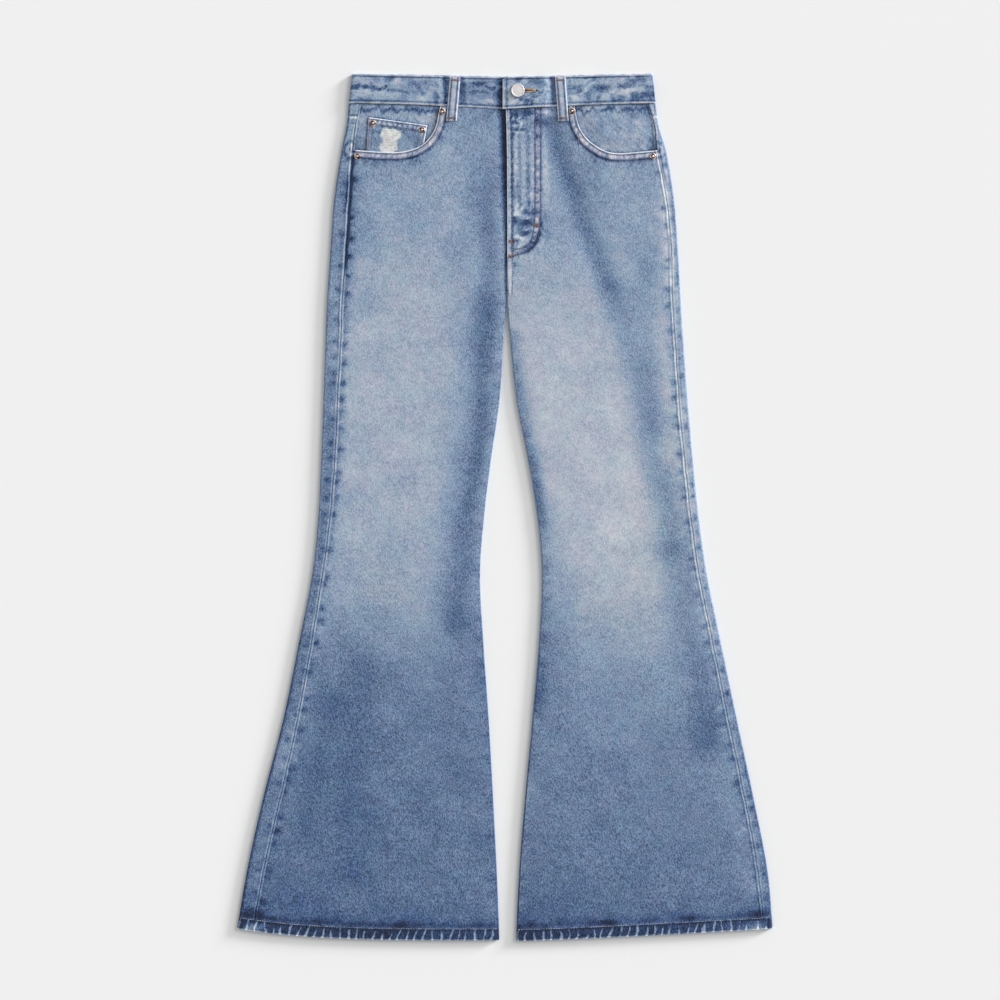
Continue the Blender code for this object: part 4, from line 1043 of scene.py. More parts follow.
def makeFront(side):
    plan = columnPlan(side)
    y, low = frontRows(side, plan)
    x, z = frontPlace(side, plan, y)
    tone, lift = frontLook(side, x, y)
    if side == "right":
        tone[-panelSteps["rolled"][side]:] -= rolledShade
    edge = np.minimum(lineDistance(x, y, pocketLine[side]), np.abs(y - low))
    if side == "left":
        flyEdge = np.abs(x - legEdge(side, "Inner", y)) + far * (y < form["flyBottomY"] - 4)
        edge = np.minimum(edge, flyEdge)
    edge = np.where(y > form["bandY"] - 1.5, far, edge)  # the waistband hides this edge
    grid = np.stack([x, y, z + lift], 2)
    obj = gridObject(side + "Front", grid, side == "left", tone, edge, seamDistance(side, x, y),
                     frontWarmth(side, x, y), y - low)
    addThickness(obj, cloth["layer"])
    finishSheet(obj, panelDenim, side + "_front_panel")


# ---- the backs and their yokes, wrapped round the outer fold ----

backSteps = {"floor": 40, "fold": 10, "wrap": 14, "rolled": 7, "yokeRows": 24}


def backPlace(side, plan, y):
    # plan rows: which stretch (0 roll, 1 floor, 2 fold, 3 wrap) and how far along it
    inward, edgeRadius = towards[side], form["edgeRadius"]
    part, along = plan[:, 0][:, None], plan[:, 1][:, None]
    inset, radius, length = rollStart(y, math.pi - frontRoll[side])
    turn = length * along / radius
    rollX = legEdge(side, "Inner", y) - inward * inset
    foldX = legEdge(side, "Outer", y) + inward * edgeRadius
    wrapEnd = legEdge(side, "Seam", y) - inward * cloth["gap"] / 2
    wrapX = foldX + (wrapEnd - foldX) * along
    x = np.choose(part.astype(int), [
        rollX + inward * radius * np.sin(turn), rollX + (foldX - rollX) * along,
        foldX - inward * edgeRadius * np.sin(math.pi * along), wrapX])
    floorZ = backHeight(x, y)
    z = np.choose(part.astype(int), [
        floorZ + radius * (1 - np.cos(turn)), floorZ,
        edgeRadius * (1 - np.cos(math.pi * along)) + 0 * y, frontHeight(side, wrapX, y)])
    return x, z


def backPlan():
    rolled, floor, fold, wrap = (backSteps[key] for key in ("rolled", "floor", "fold", "wrap"))
    plan = [(0, k / rolled) for k in range(rolled, 0, -1)]
    plan += [(1, k / floor) for k in range(floor + 1)]
    plan += [(2, k / fold) for k in range(1, fold + 1)]
    plan += [(3, 1 - (1 - k / wrap) ** 1.7) for k in range(1, wrap + 1)]
    return np.array(plan)


def yokeLine(side, end, count, up=0.0):
    # along the yoke's seam from the middle of the back
    x = np.linspace(4, end, count) * -towards[side]
    return np.stack([x, yokeSeamY(side, x) + up], 1)


def backSpots():
    # puckers on the underside: the yoke, the pockets, the seat seam and behind the knees
    spots = []
    for side in sides:
        sign = -towards[side]
        seam = yokeLine(side, 190, 40)
        spots += puckersAlong(seam, 14, 5.5, (5, 3), -0.14, -0.10, 101)
        spots += puckersAlong(seam, 14, -5.5, (5, 3), 0.12, 0.10, 102)
        outline = closed(backPocketOutline(side))
        spots += puckersAlong(outline, 15, -7, (5, 3.4), -0.15, 0.0, 103)
        spots += puckersAlong(outline, 15, -8, (5, 3.4), 0.10, 0.0, 104)
        spots += [(sign * 110, -40 - 26 * k, 60 - 8 * k, 6, sign * 0.12 * (k - 1), 0.07, 0.12)
                  for k in range(4)]
    seat = np.stack([np.full(40, 1.5), np.linspace(430, 270, 40)], 1)
    spots += puckersAlong(seat, 12, 5, (5, 3), -0.14, 0.0, 105)
    spots += puckersAlong(seat, 12, -5, (5, 3), 0.10, 0.0, 106)
    return spots


undersideSpots = backSpots()
# the yoke's seam where it wraps round to the front: height over it, width, tone
yokeLines = [(1.8, 1.1, -0.40), (-1.2, 1.0, 0.36), (-8.5, 0.9, -0.24), (-10.5, 1.0, 0.24)]


# how the strip that wraps round differs from the front's tone: all along, at the hip and at the
# shin, partly the wash and, on the wearer's left, partly painted light where it faces the sun; and
# how the fold does: painted shade all along, and painted light at the hip
wrapTones = {"right": (-0.06, 0.12, 0.10, -0.10, 0.0), "left": (-0.06, 0.22, 0.10, -0.08, 0.06)}


def backLook(side, x, y, part):
    front, frontLift = frontLook(side, x, y)
    under, underLift = spotField(x, y, undersideSpots)
    under = under + 0.9 * washTone(side, x, y) - 0.02
    for at, width, strength in yokeLines:
        front = front + strength * nearness(y - form["yokeSideY"], at, width)
    plain, hip, shin, fold, foldHip = wrapTones[side]
    front = front + plain + hip * smoothStep(410, 480, y) + shin * smoothStep(-240, -340, y)
    # painted shade on the fold, with painted light at the hip
    folded = fold + foldHip * smoothStep(400, 450, y)
    tone = np.where(part >= 3, front, under) + folded * (part == 2)
    lift = np.where(part >= 3, frontLift, np.clip(underLift, 0, 0.3)) * (part != 2)
    return tone, lift


def makeBack(side):
    plan = backPlan()
    part = plan[:, 0][:, None]
    half = cloth["gap"] / 2

    def columnX(height):
        return backPlace(side, plan, np.full((len(plan), 1), form[height]))[0]

    low = hemEdgeY(side, columnX("hemY"))
    seam = np.where(part > 1, form["yokeSideY"], yokeSeamY(side, columnX("yokeSideY")))
    top = bandLowY(columnX("bandY")) - half
    lower = rowsBetween(low, seam - half, np.linspace(0, 1, panelSteps["backRows"]))
    upper = seam + half + (top - seam - half) * np.linspace(0, 1, backSteps["yokeRows"])[None]
    for y, name, node, kind, rests in (
        (lower, "Back", "_back_panel", "back", "floor"), (upper, "Yoke", "_yoke", "yoke", side + "Back"),
    ):
        x, z = backPlace(side, plan, y)
        tone, lift = backLook(side, x, y, part)
        grid = np.stack([x, y, z + lift], 2)
        fromSeam = np.where(part >= 3, seamDistance(side, x, y), far)
        edge = np.minimum(np.abs(y - low) + far * (kind == "yoke"), np.abs(y - seam))
        obj = gridObject(side + name, grid, side == "left", tone, edge, fromSeam, 0.0, y - low)
        addThickness(obj, cloth["layer"])
        finishSheet(obj, panelDenim, side + node)


# ---- front pockets: the facing, and the coin pocket on it ----

facingSizes = {"margin": 9.0, "depthUnder": 2.6, "depthOpen": 1.3, "slope": 20.0,
               "seamShade": {"right": 0.06, "left": 0.20}}


def facingDepth(side, x, y):
    line = pocketLine[side]
    square = (line[:, 0] - x[..., None]) ** 2 + (line[:, 1] - y[..., None]) ** 2
    nearest = line[square.argmin(-1)]
    away = np.hypot(nearest[..., 0] - x, nearest[..., 1] - y)
    inward = (x < nearest[..., 0]) if side == "right" else (x > nearest[..., 0])
    inside = (inward & (y > nearest[..., 1])) | (y > nearest[..., 1] + 4)
    share = np.where(inside, smoothStep(2, facingSizes["slope"], away), 0)
    return facingSizes["depthUnder"] + (facingSizes["depthOpen"] - facingSizes["depthUnder"]) * share


def makeFacing(side):
    inward = towards[side]
    lower = outward(side, facingSizes["margin"])
    lower = lower[lower[:, 1] < 496]
    outer, inner = float(legEdge(side, "Seam", 440.0)) + inward * 0.5, lower[0, 0]
    share, up = np.meshgrid(np.linspace(0, 1, 90), np.linspace(0, 1, 44), indexing="ij")
    x = outer + (inner - outer) * share
    low = np.interp(x, *lower[np.argsort(lower[:, 0])].T)
    y = low + (bandLowY(x) - cloth["gap"] / 2 - low) * up
    seam = legEdge(side, "Seam", y) + inward * cloth["gap"] / 2
    x = x + inward * np.maximum(0, (seam - outer) * inward * (1 - share))
    z = frontHeight(side, x, y) - facingDepth(side, x, y) + 0.12 * ripple(x, y, 30, 25)
    tone = 0.66 + 0.05 * ripple(x, y, 14, 26) + 0.06 * ripple(x, y, 40, 27)
    tone += 0.06 * ripple(x + y, 0.2 * (x - y), 7, 29)
    # dark puckers under the waistband, painted shade right under its edge, darker beside the
    # outseam, and slanting light streaks
    underBand = bandLowY(x) - y
    fromSeam = seamDistance(side, x, y)
    puckers = nearness(underBand, 7 + 3.0 * ripple(x, 0.3 * y, 9, 28), 2.4)
    change = -(0.55 + 0.3 * ripple(x, y, 16, 34)) * puckers - 0.40 * nearness(underBand, 0, 1.6)
    change -= facingSizes["seamShade"][side] * nearness(fromSeam, 5, 7)
    change += 0.10 * np.maximum(0, ripple(x + y, 0.3 * (x - y), 9, 30) - 0.3)
    # painted shade along the pocket's edge, where the facing runs under the front
    tone = inked(tone, change) - 0.30 * nearness(lineDistance(x, y, pocketLine[side]), 0, 2.4)
    # on the right, a painted shadow round the coin pocket
    if side == "right":
        tone = tone - 0.40 * nearness(lineDistance(x, y, closed(coinCorners)), 0, 1.8)
    grid = np.stack([x, y, z], 2)
    obj = gridObject(side + "Facing", grid, side == "left", tone, seam=fromSeam)
    addThickness(obj, cloth["layer"])
    finishSheet(obj, pocketDenim, side + "_pocket_facing")


def coinHeight(x, y):
    facing = frontHeight("right", x, y) - facingDepth("right", x, y)
    return facing + cloth["gap"] + cloth["layer"] + 0.12 * np.abs(ripple(x, y, 30, 25))


def bilinear(corners, u, v):
    # corners: upper outer, upper inner, lower inner, lower outer
    upper = np.array(corners[0]) * (1 - u)[..., None] + np.array(corners[1]) * u[..., None]
    lower = np.array(corners[3]) * (1 - u)[..., None] + np.array(corners[2]) * u[..., None]
    return lower * (1 - v)[..., None] + upper * v[..., None]


def coinSpots():
    top = np.array(coinCorners[:2], float)
    # white beads between dark spots along the stitched top band
    spots = puckersAlong(top, 6.4, -4.7, (2.0, 1.9), 0.45, 0.15, 111, jitter=0.12)
    spots += puckersAlong(top + (3.2, 0), 6.4, -4.7, (2.2, 1.4), -0.50, -0.1, 112, jitter=0.12)
    spots += puckersAlong(top, 9, -13, (4, 3), -0.12, -0.1, 113)
    spots += [(-112, 460, 6, 12, 0.2, -0.14, -0.1), (-162, 458, 4, 10, 0.1, -0.10, -0.1),
              (-160, 469, 9, 2.4, -0.1, -0.26, -0.2), (-118, 443, 12, 3, 0.2, 0.08, 0)]
    for on, _, px, py in rivetPlaces.values():
        if on == "coin":
            spots.append((px, py, 6.5, 6.5, 0, 0.26, 0.1))
    return spots


# the patch that is worn to its white threads: middle, half width, half height of each part
coinWorn = [(-149, 466, 9, 5), (-136, 466, 9, 5), (-143, 461, 13, 6), (-145, 452, 12, 6),
            (-145.5, 446, 15, 8), (-150, 473, 4, 4), (-142, 469, 9, 5)]
# lines under the coin pocket's upper edge: distance, half width, tone, lift
coinLines = [(2.4, 0.8, -0.30, -0.15), (7.8, 0.8, -0.30, -0.15), (9.8, 0.8, -0.22, 0)]
coinSlant = 0.136  # how much its upper edge falls towards the fly
backPocketLines = [(0.0, 0.7, 0, 0.35), (3.5, 2.2, 0.12, 0), (9, 2.5, -0.12, 0)]


def makeCoinPocket():
    u, v = np.meshgrid(np.linspace(0, 1, 70), np.linspace(0, 1, 50), indexing="ij")
    x, y = np.moveaxis(bilinear(coinCorners, u, v), -1, 0)
    edge = lineDistance(x, y, closed(coinCorners))
    flecks, lift = spotField(x, y, coinSpots())
    tone = inked(0.60 + 0.05 * ripple(x, y, 9, 31), flecks)
    wornX, wornY = warped(x, y, 0.9, 6.0)
    worn = sum(nearness(wornX, px, w) * nearness(wornY, py, h) for px, py, w, h in coinWorn)
    worn = smoothStep(0.70, 0.95, worn)
    tone = tone * (1 - worn) + (0.96 + 0.08 * ripple(0.5 * x, 2 * y, 5, 33)) * worn
    z = coinHeight(x, y) + lift - 0.35 * nearness(edge, 0, 0.7)
    fromTop = coinCorners[0][1] - coinSlant * (x - coinCorners[0][0]) - y
    tone, z = withLines(tone, z, fromTop, coinLines)
    z += 0.30 * (1 - smoothStep(8.6, 9.6, fromTop))
    warm = 0.7 * smoothStep(1.4, 2.4, fromTop) * (1 - smoothStep(8.2, 9.4, fromTop)) - worn
    grid = np.stack([x, y, z], 2)
    obj = gridObject("coinPocket", grid, False, tone, edge + 0.4, warm=warm)
    addThickness(obj, cloth["layer"])
    finishSheet(obj, pocketDenim, "coin_pocket")


def makeBackPocket(side):
    outline = backPocketOutline(side)
    across = np.linspace(0, 1, 60)
    top = np.stack([np.interp(across, (0, 1), column) for column in outline[[0, 4]].T], 1)
    low = np.stack([np.interp(across, (0, 0.5, 1), column) for column in outline[1:4].T], 1)
    up = np.linspace(0, 1, 60)[None, :, None]
    x, y = np.moveaxis(low[:, None] * (1 - up) + top[:, None] * up, -1, 0)
    tone, _ = spotField(x, y, undersideSpots)
    tone = tone + 0.5 + 0.03 * ripple(x, y, 30, 41)
    edge = lineDistance(x, y, closed(outline))
    tone, z = withLines(tone, 0.05 * np.abs(ripple(x, y, 26, 42)), edge, backPocketLines)
    grid = np.stack([x, y, z], 2)
    obj = gridObject(side + "BackPocket", grid, True, tone, edge)
    addThickness(obj, cloth["layer"])
    finishSheet(obj, pocketDenim, side + "_back_pocket")


# ---- the waistband: one folded strip whose ends lap at the front ----

bandSides = {"right": -195.6, "left": 188.4}
bandEnds = {"button": 40.0, "buttonhole": -3.0, "dip": (-6.0, -22.0), "slope": (46.0, 58.0),
            "corner": 3.5}
buttonPlace = (15.9, 520.0)


def bandFrontHeight(x, lapping):
    if lapping:
        share = 1 - smoothStep(*bandEnds["slope"], x)
        return form["bandHeight"] + (form["buttonholeEndHeight"] - form["bandHeight"]) * share
    share = 1 - smoothStep(-bandEnds["dip"][0], -bandEnds["dip"][1], -np.asarray(x, float))
    return form["bandHeight"] + (form["buttonEndHeight"] - form["bandHeight"]) * share


def bandPath(step=1.3):
    # x, height, share of the front, and 1 on the lapping end, round the waist
    radius = form["bandHeight"] / 2
    right, left = bandSides["right"] + radius, bandSides["left"] - radius
    under = np.arange(bandEnds["button"], right, -step)
    turn = np.linspace(0, math.pi, 9)
    back = np.arange(right, left, 5.0)[1:]
    over = np.append(np.arange(left, bandEnds["buttonhole"] + 3, -step)[1:],
                     bandEnds["buttonhole"] + np.array([2.6, 1.8, 1.1, 0.5, 0.15, 0]))
    rows = [(x, bandFrontHeight(x, False), 1.0, 0) for x in under]
    rows += [(right - radius * math.sin(a), radius * (1 + math.cos(a)), 1 - a / math.pi, 0) for a in turn]
    rows += [(x, float(backHeight(x, form["bandY"] + 15)), 0.0, 0) for x in back]
    rows += [(left + radius * math.sin(a), radius * (1 - math.cos(a)), a / math.pi, 1) for a in turn]
    rows += [(x, bandFrontHeight(x, True), 1.0, 1) for x in over]
    return np.array([[float(v) for v in row] for row in rows])


# what the waistband's front shows: creases (x, y to x, y, half width, tone), then patches. The
# creases are painted shade in troughs and painted light on ridges, partly over worn streaks; the
# lines at x -74.5, -55 and 59.5 are painted shadows beside the front belt loops
bandCreasesAndShadows = [
    (-192, 525, -175, 525, 2.4, -0.36), (-175, 526, -159, 522, 3.0, -0.34),
    (-159, 522, -149, 524, 1.8, -0.26), (-146, 520, -134, 520.5, 1.8, -0.26),
    (-134, 520.5, -119, 517, 1.5, -0.22), (-148, 534.5, -139, 537, 3, -0.2),
    (-119, 529, -111, 527.5, 3.2, -0.14), (-108, 525, -104, 517.5, 3, -0.12),
    (-74.5, 536, -74.5, 505, 3.4, -0.42), (-86, 515, -85, 507, 3.5, -0.2),
    (-95, 524.5, -84, 519, 1.6, 0.16), (-192, 527.5, -185, 528, 1.2, 0.16),
    (-190, 534.5, -171, 534.5, 3, 0.1), (-139, 529.5, -121, 529.5, 3.4, 0.1),
    (-55, 534, -54, 505, 4, -0.22), (-39, 529, -25, 528, 1.8, -0.2),
    (-24, 524, -12, 522.5, 1.8, -0.22), (-32, 518, -21, 518.5, 1.5, -0.18),
    (-44, 517.5, -34, 519.5, 1.8, -0.16),
    (19, 504, 26, 509.5, 1.5, 0.24), (26, 509.5, 34, 514, 1.5, 0.24),
    (34, 514, 46, 516.5, 1.5, 0.2), (46, 516.5, 56, 522, 1.5, 0.18),
    (30, 510, 30, 502.5, 1.3, 0.16), (21, 509, 32, 505, 3.6, -0.26),
    (41, 519, 54, 518, 1.6, -0.2), (15, 534, 21, 535, 3, -0.24),
    (31, 532.5, 48, 530, 4.2, -0.2), (59.5, 536, 61, 506, 3.5, -0.36),
    (94, 516, 112, 531.5, 1.9, 0.24), (169, 522, 186, 529, 1.6, 0.15),
    (131, 518, 141, 522.5, 1.8, 0.18), (141, 522.5, 152, 520, 1.8, 0.15),
    (152, 520, 186, 521, 1.6, 0.10), (79, 521, 95, 525, 3.6, -0.26),
    (82, 515.5, 94, 519, 2.4, -0.2), (114, 521, 130, 525, 4, -0.24),
    (144, 525.5, 161, 527, 3.6, -0.24), (155, 533, 172, 535, 3.4, -0.22),
    (161, 512.5, 186, 515.5, 5, -0.28), (176, 524, 186, 525.5, 2.4, -0.22),
    (99, 535.5, 114, 536.5, 1.6, -0.18), (79, 534, 80, 509, 2.4, -0.18),
    (120, 531, 128, 534, 2.6, 0.12), (104, 511, 108, 524, 3, -0.12),
    (134, 514, 135, 507.5, 2.2, -0.14), (114, 507.5, 119, 514, 2, -0.12),
]
bandPatches = [
    (-36, 521, 34, 15, 0, -0.15, 0.0), (-135, 511, 46, 7, 0, -0.09, 0.0),
    (-150, 512, 19, 5, 0, 0.2, 0.24), (-101, 510, 10, 6, 0, 0.22, 0.26),
    (-180, 515, 10, 5, 0, 0.08, 0.10), (-39, 509, 7, 5, 0, 0.18, 0.22),
    (-19, 509, 6, 6, 0, 0.16, 0.19), (88, 509.5, 8, 5, 0, 0.26, 0.31),
    (126, 512, 9, 4, 0, 0.16, 0.19), (145, 515, 8, 4, 0, 0.16, 0.19),
    (5, 520, 3, 12, 0, 0.18, 0.22), (9, 507.5, 6, 6, 0, 0.34, 0.41),
    (44, 511, 8, 4, 0, 0.1, 0.12), (124, 530, 8, 4, 0, 0.1, 0.12), (106, 534.5, 5, 2, 0, 0.08, 0.10),
]


def creaseField(x, y):
    # the tone of the creases, painted shade in a trough and painted light on a ridge: each a trough or
    # a ridge, with the opposite on both its shoulders
    x, y = warped(x, y, 1.6, 10.0)
    dark, light = np.zeros(x.shape), np.zeros(x.shape)
    for x0, y0, x1, y1, width, strength in bandCreasesAndShadows:
        away = segmentDistance(x, y, (x0, y0), (x1, y1)) / width
        tone = strength * (nearness(away, 0, 1) - 0.35 * nearness(away, 2.0, 0.7))
        dark, light = np.minimum(dark, tone), np.maximum(light, tone)
    return dark + light


def bandSpots():
    draw = np.random.default_rng(5)
    spots = list(bandPatches)
    for _ in range(90):
        x, y = draw.uniform(-190, 184), draw.uniform(505, 540)
        light = draw.uniform() < 0.5
        tone = draw.uniform(0.06, 0.17) * (1 if light else -1)
        turn = draw.uniform(-0.2, 0.9) if x > 0 else draw.uniform(-0.4, 0.4)
        spots.append((x, y, draw.uniform(3, 9), draw.uniform(1.8, 3.4), turn, tone, tone * 1.6))
    return spots


# rows from each edge inwards, and of the stretch between; lift of a crease by its tone
bandSteps = {"nearEdge": [0, 0.25, 0.7, 1.3, 2.0, 2.8], "rows": 28, "creaseDepth": 1.7}
# lines along its edges, and along its upper edge at the front: distance, half width, tone, lift
bandEdgeLines = [(0, 0.6, 0, -0.5), (3.2, 0.8, 0, -0.25)]
bandTopLines = [(2.3, 0.9, -0.30, 0), (0, 1.1, 0.12, 0)]


def makeWaistband():
    path = bandPath()
    x, z, front, lapping = (path[:, k][:, None] for k in range(4))
    overEnd, underEnd = ((lapping == lap) & (front == 1) for lap in (1, 0))
    low = bandLowY(x) + cloth["gap"] / 2
    corner = bandEnds["corner"] * np.exp(-(x - bandEnds["buttonhole"]) / 3) * overEnd
    height = bandTopY(x) - form["bandFrontDrop"] * front - corner - low
    near = np.array(bandSteps["nearEdge"])
    between = np.linspace(0, 1, bandSteps["rows"] + 2)[1:-1]
    up = np.hstack([near + 0 * low, near[-1] + (height - 2 * near[-1]) * between, height - near[::-1]])
    x = x * (1 + (form["bandTaper"] - 1) * up / height)
    y = low + up
    fromHigh = height - up
    fromEnd = np.where(overEnd, x - bandEnds["buttonhole"], far)
    edge = np.minimum(np.minimum(up, fromHigh), fromEnd)
    worn = np.where(front > 0.9, np.minimum(up, fromEnd), edge)
    onFront = (front > 0.5) & (z > 2)
    spots = bandSpots()
    change, lift = spotField(x, y, spots)
    # creases: painted shade and light over worn streaks, and painted shadows beside the front loops
    creases = creaseField(x, y)
    change = np.where(onFront, change + creases, spotField(-x, y, spots)[0])
    lift = np.clip(lift + bandSteps["creaseDepth"] * creases, -0.7, 0.7)
    tone = inked(0.59 + 0.04 * ripple(x, y, 20, 51) + 0.03 * ripple(x, y, 60, 52), 1.35 * change)
    tone += overEnd * (0.16 * (1 - smoothStep(3.0, 4.4, fromEnd)) - 0.34 * nearness(fromEnd, 5.4, 0.9))
    # painted shadow on the underlapping end beside the lapping end's edge, and a dark stitch line 3.5 mm
    # over the lower edge
    shadowBesideEnd = np.minimum(0, x - bandEnds["buttonhole"] + 3.0)
    tone -= 0.46 * underEnd * nearness(shadowBesideEnd, 0, 4.4) + 0.36 * nearness(up, 3.5, 1.1)
    # painted shade where the lapping end turns round the wearer's left side
    tone -= 0.24 * (lapping == 1) * (front > 0.02) * (front < 0.98)
    tone, lift = withLines(tone, lift, edge, bandEdgeLines)
    tone, lift = withLines(tone, lift, fromHigh, bandTopLines, front > 0.9)
    grid = np.stack([x, y, z + np.where(onFront, lift, 0.0)], 2)
    obj = gridObject("waistbandStrip", grid, True, tone, worn)
    addThickness(obj, cloth["band"])
    cutButtonhole(obj)
    finishSheet(obj, bandDenim, "waistband")


buttonhole = {"length": 25.0, "width": 1.6, "eyelet": 3.4}


def cutButtonhole(band):
    x, y = buttonPlace
    low, high = form["buttonEndHeight"] + 0.1, 14.0
    middle = ((x + buttonhole["length"] / 2) * mm, y * mm, (low + high) / 2 * mm)
    bpy.ops.mesh.primitive_cube_add(size=1, location=middle)
    slot = bpy.context.object
    slot.scale = (buttonhole["length"] * mm, buttonhole["width"] * mm, (high - low) * mm)
    bpy.ops.object.transform_apply(location=True, rotation=False, scale=True)
    place = (x * mm, y * mm, (low + high) / 2 * mm)
    bpy.ops.mesh.primitive_cylinder_add(vertices=24, radius=buttonhole["eyelet"] * mm,
                                        depth=(high - low) * mm, location=place)
    eyelet = bpy.context.object
    bpy.ops.object.transform_apply(location=True, rotation=False, scale=False)
    for cutter in (slot, eyelet):
        cut = band.modifiers.new("buttonhole", "BOOLEAN")
        cut.operation = "DIFFERENCE"
        cut.object = cutter
        applyModifier(band, cut)
        bpy.data.objects.remove(cutter)
    # the vertices that the cut made have no lightness or worn edge of their own yet
    for wash, edge in zip(*(band.data.attributes[name].data for name in ("wash", "edge"))):
        if wash.value == 0 and edge.value == 0:
            wash.value = 0.5


# ---- belt loops ----

# columns across half of a loop from its edge, and rows along it, as shares of its length
loopColumns = [0, 0.35, 0.9, 1.7, 2.6, 3.6, 5.0, 6.5, 8.0, 9.4, 10.4, 11.3, 12.1, 12.65, 13.0]
loopRows = [0, 0.3, 0.8, *np.linspace(1.5, 52.5, 44), 53.2, 53.7, 54.0]


def loopTop(side, x, y):
    # the height of a front loop's face, which lies on the front and then on the waistband
    onBand = smoothStep(bandLowY(x) - 9, bandLowY(x) - 1, y)
    under = frontHeight(side, x, np.minimum(y, form["bandY"]))
    under = under + (bandFrontHeight(x, side == "left") - under) * onBand
    return under + cloth["gap"] + cloth["loop"]


def makeLoop(node, ends, onFront):
    top, low = np.array(ends, float)
    half = loopWidth / 2
    u, v = np.meshgrid(np.array(loopColumns) - half, np.array(loopRows) / loopRows[-1], indexing="ij")
    x = low[0] + (top[0] - low[0]) * v + u
    y = low[1] + (top[1] - low[1]) * v
    fromSide = half - np.abs(u)
    fromEnd = np.minimum(v, 1 - v) * np.hypot(*(top - low))
    edge = np.minimum(fromSide, fromEnd)
    rounded = nearness(edge, 0, 0.6)
    if onFront:
        belly = 0.25 * (1 - (u / half) ** 2) + 0.06 * ripple(x, y, 9, 61)
        z = loopTop(sideOf(top[0]), x, y) + belly - 0.35 * rounded - 0.22 * nearness(fromSide, 2.6, 0.7)
    else:
        z = 0.3 * rounded
    tone = 0.78 - 0.62 * nearness(fromSide, 2.7, 0.85) - 0.10 * nearness(fromEnd, 0, 4)
    tone += 0.08 * ripple(x, y, 9, 62)
    grid = np.stack([x, y, z], 2)
    obj = gridObject(pieceName(node), grid, not onFront, tone, edge + 0.6)
    addThickness(obj, cloth["loop"])
    finishSheet(obj, panelDenim, node)


# ---- button and rivets ----

def turnedPiece(name, profile, steps):
    # a disc pulled up ring by ring: (radius, height) from the foot to the top, with bpy.ops
    bpy.ops.object.select_all(action="DESELECT")
    radius, height = profile[0]
    bpy.ops.mesh.primitive_circle_add(vertices=steps, radius=radius * mm, fill_type="NGON")
    obj = bpy.context.object
    obj.name = obj.data.name = name
    bpy.ops.object.mode_set(mode="EDIT")
    bpy.ops.mesh.select_all(action="SELECT")
    for nextRadius, nextHeight in profile[1:]:
        bpy.ops.mesh.extrude_region_move(
            TRANSFORM_OT_translate={"value": (0, 0, (nextHeight - height) * mm)})
        scale = nextRadius / radius
        bpy.ops.transform.resize(value=(scale, scale, 1), center_override=(0, 0, 0))
        radius, height = nextRadius, nextHeight
    bpy.ops.mesh.select_all(action="SELECT")
    bpy.ops.mesh.normals_make_consistent(inside=False)
    bpy.ops.object.mode_set(mode="OBJECT")
    bpy.ops.object.shade_smooth_by_angle(angle=math.radians(40))
    # rubbed bright in the middle and on the rim, with a painted highlight there, dark in the groove between
    polishAndHighlight = obj.data.attributes.new("polishAndHighlight", "FLOAT", "POINT")
    widest = max(radius for radius, _ in profile)
    for vertex, value in zip(obj.data.vertices, polishAndHighlight.data):
        share = math.hypot(vertex.co.x, vertex.co.y) / mm / widest
        value.value = 1.0 if share < 0.36 else 0.02 if share < 0.62 else 0.45
    return obj


def moveMesh(obj, place):
    obj.data.transform(Matrix.Translation(Vector(place) * mm))


def finishMetal(obj, material, node):
    obj.data.materials.clear()
    obj.data.materials.append(material)
    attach(obj, "root")
    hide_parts(node)


buttonShape = [(2.8, 0), (2.8, 2.5), (3.2, 2.6), (7.2, 2.6), (8.0, 2.8), (8.42, 3.2), (8.5, 3.7),
               (8.42, 4.25), (8.15, 4.7), (7.75, 4.92), (7.35, 4.9), (7.1, 4.72), (6.9, 4.66),
               (5.0, 4.78), (3.0, 4.86), (1.2, 4.9), (0.3, 4.9)]
rivetShape = [(3.9, 0), (4.1, 0.25), (4.0, 0.6), (3.6, 0.85), (3.1, 0.92), (2.6, 0.8), (2.2, 0.5),
              (1.9, 0.45), (1.75, 0.7), (1.55, 1.05), (1.2, 1.3), (0.7, 1.45), (0.15, 1.5)]


def makeButton():
    obj = turnedPiece("waistButton", buttonShape, 48)
    moveMesh(obj, (*buttonPlace, form["buttonEndHeight"] + cloth["gap"]))
    finishMetal(obj, steel, "waist_button")


def makeRivets():
    model = turnedPiece("rivetModel", rivetShape, 28)
    for node, (on, side, x, y) in rivetPlaces.items():
        under = coinHeight(np.array(x), np.array(y)) if on == "coin" else frontSurface(side, x, y)
        obj = linkObject(bpy.data.objects.new(pieceName(node), model.data.copy()))
        moveMesh(obj, (x, y, float(under) + 0.3))
        finishMetal(obj, copper, node)
    bpy.data.objects.remove(model)


# ---- sewing ----

sewing = {"pitch": 3.1, "length": 2.4, "radius": 0.36, "sides": 6, "above": 0.08, "below": -0.06}
threadOf = {
    "hemStitches": "grey", "pocketStitches": "rose", "flyStitches": "rose", "flyBartacks": "rust",
    "waistbandLowerStitches": "cream", "waistbandUpperStitches": "rose",
    "buttonholeStitches": "ochre", "loopStitches": "rose", "loopBartacks": "rust",
    "backPocketStitches": "rose", "yokeStitches": "rose", "backHemStitches": "grey",
}
sewn = {}


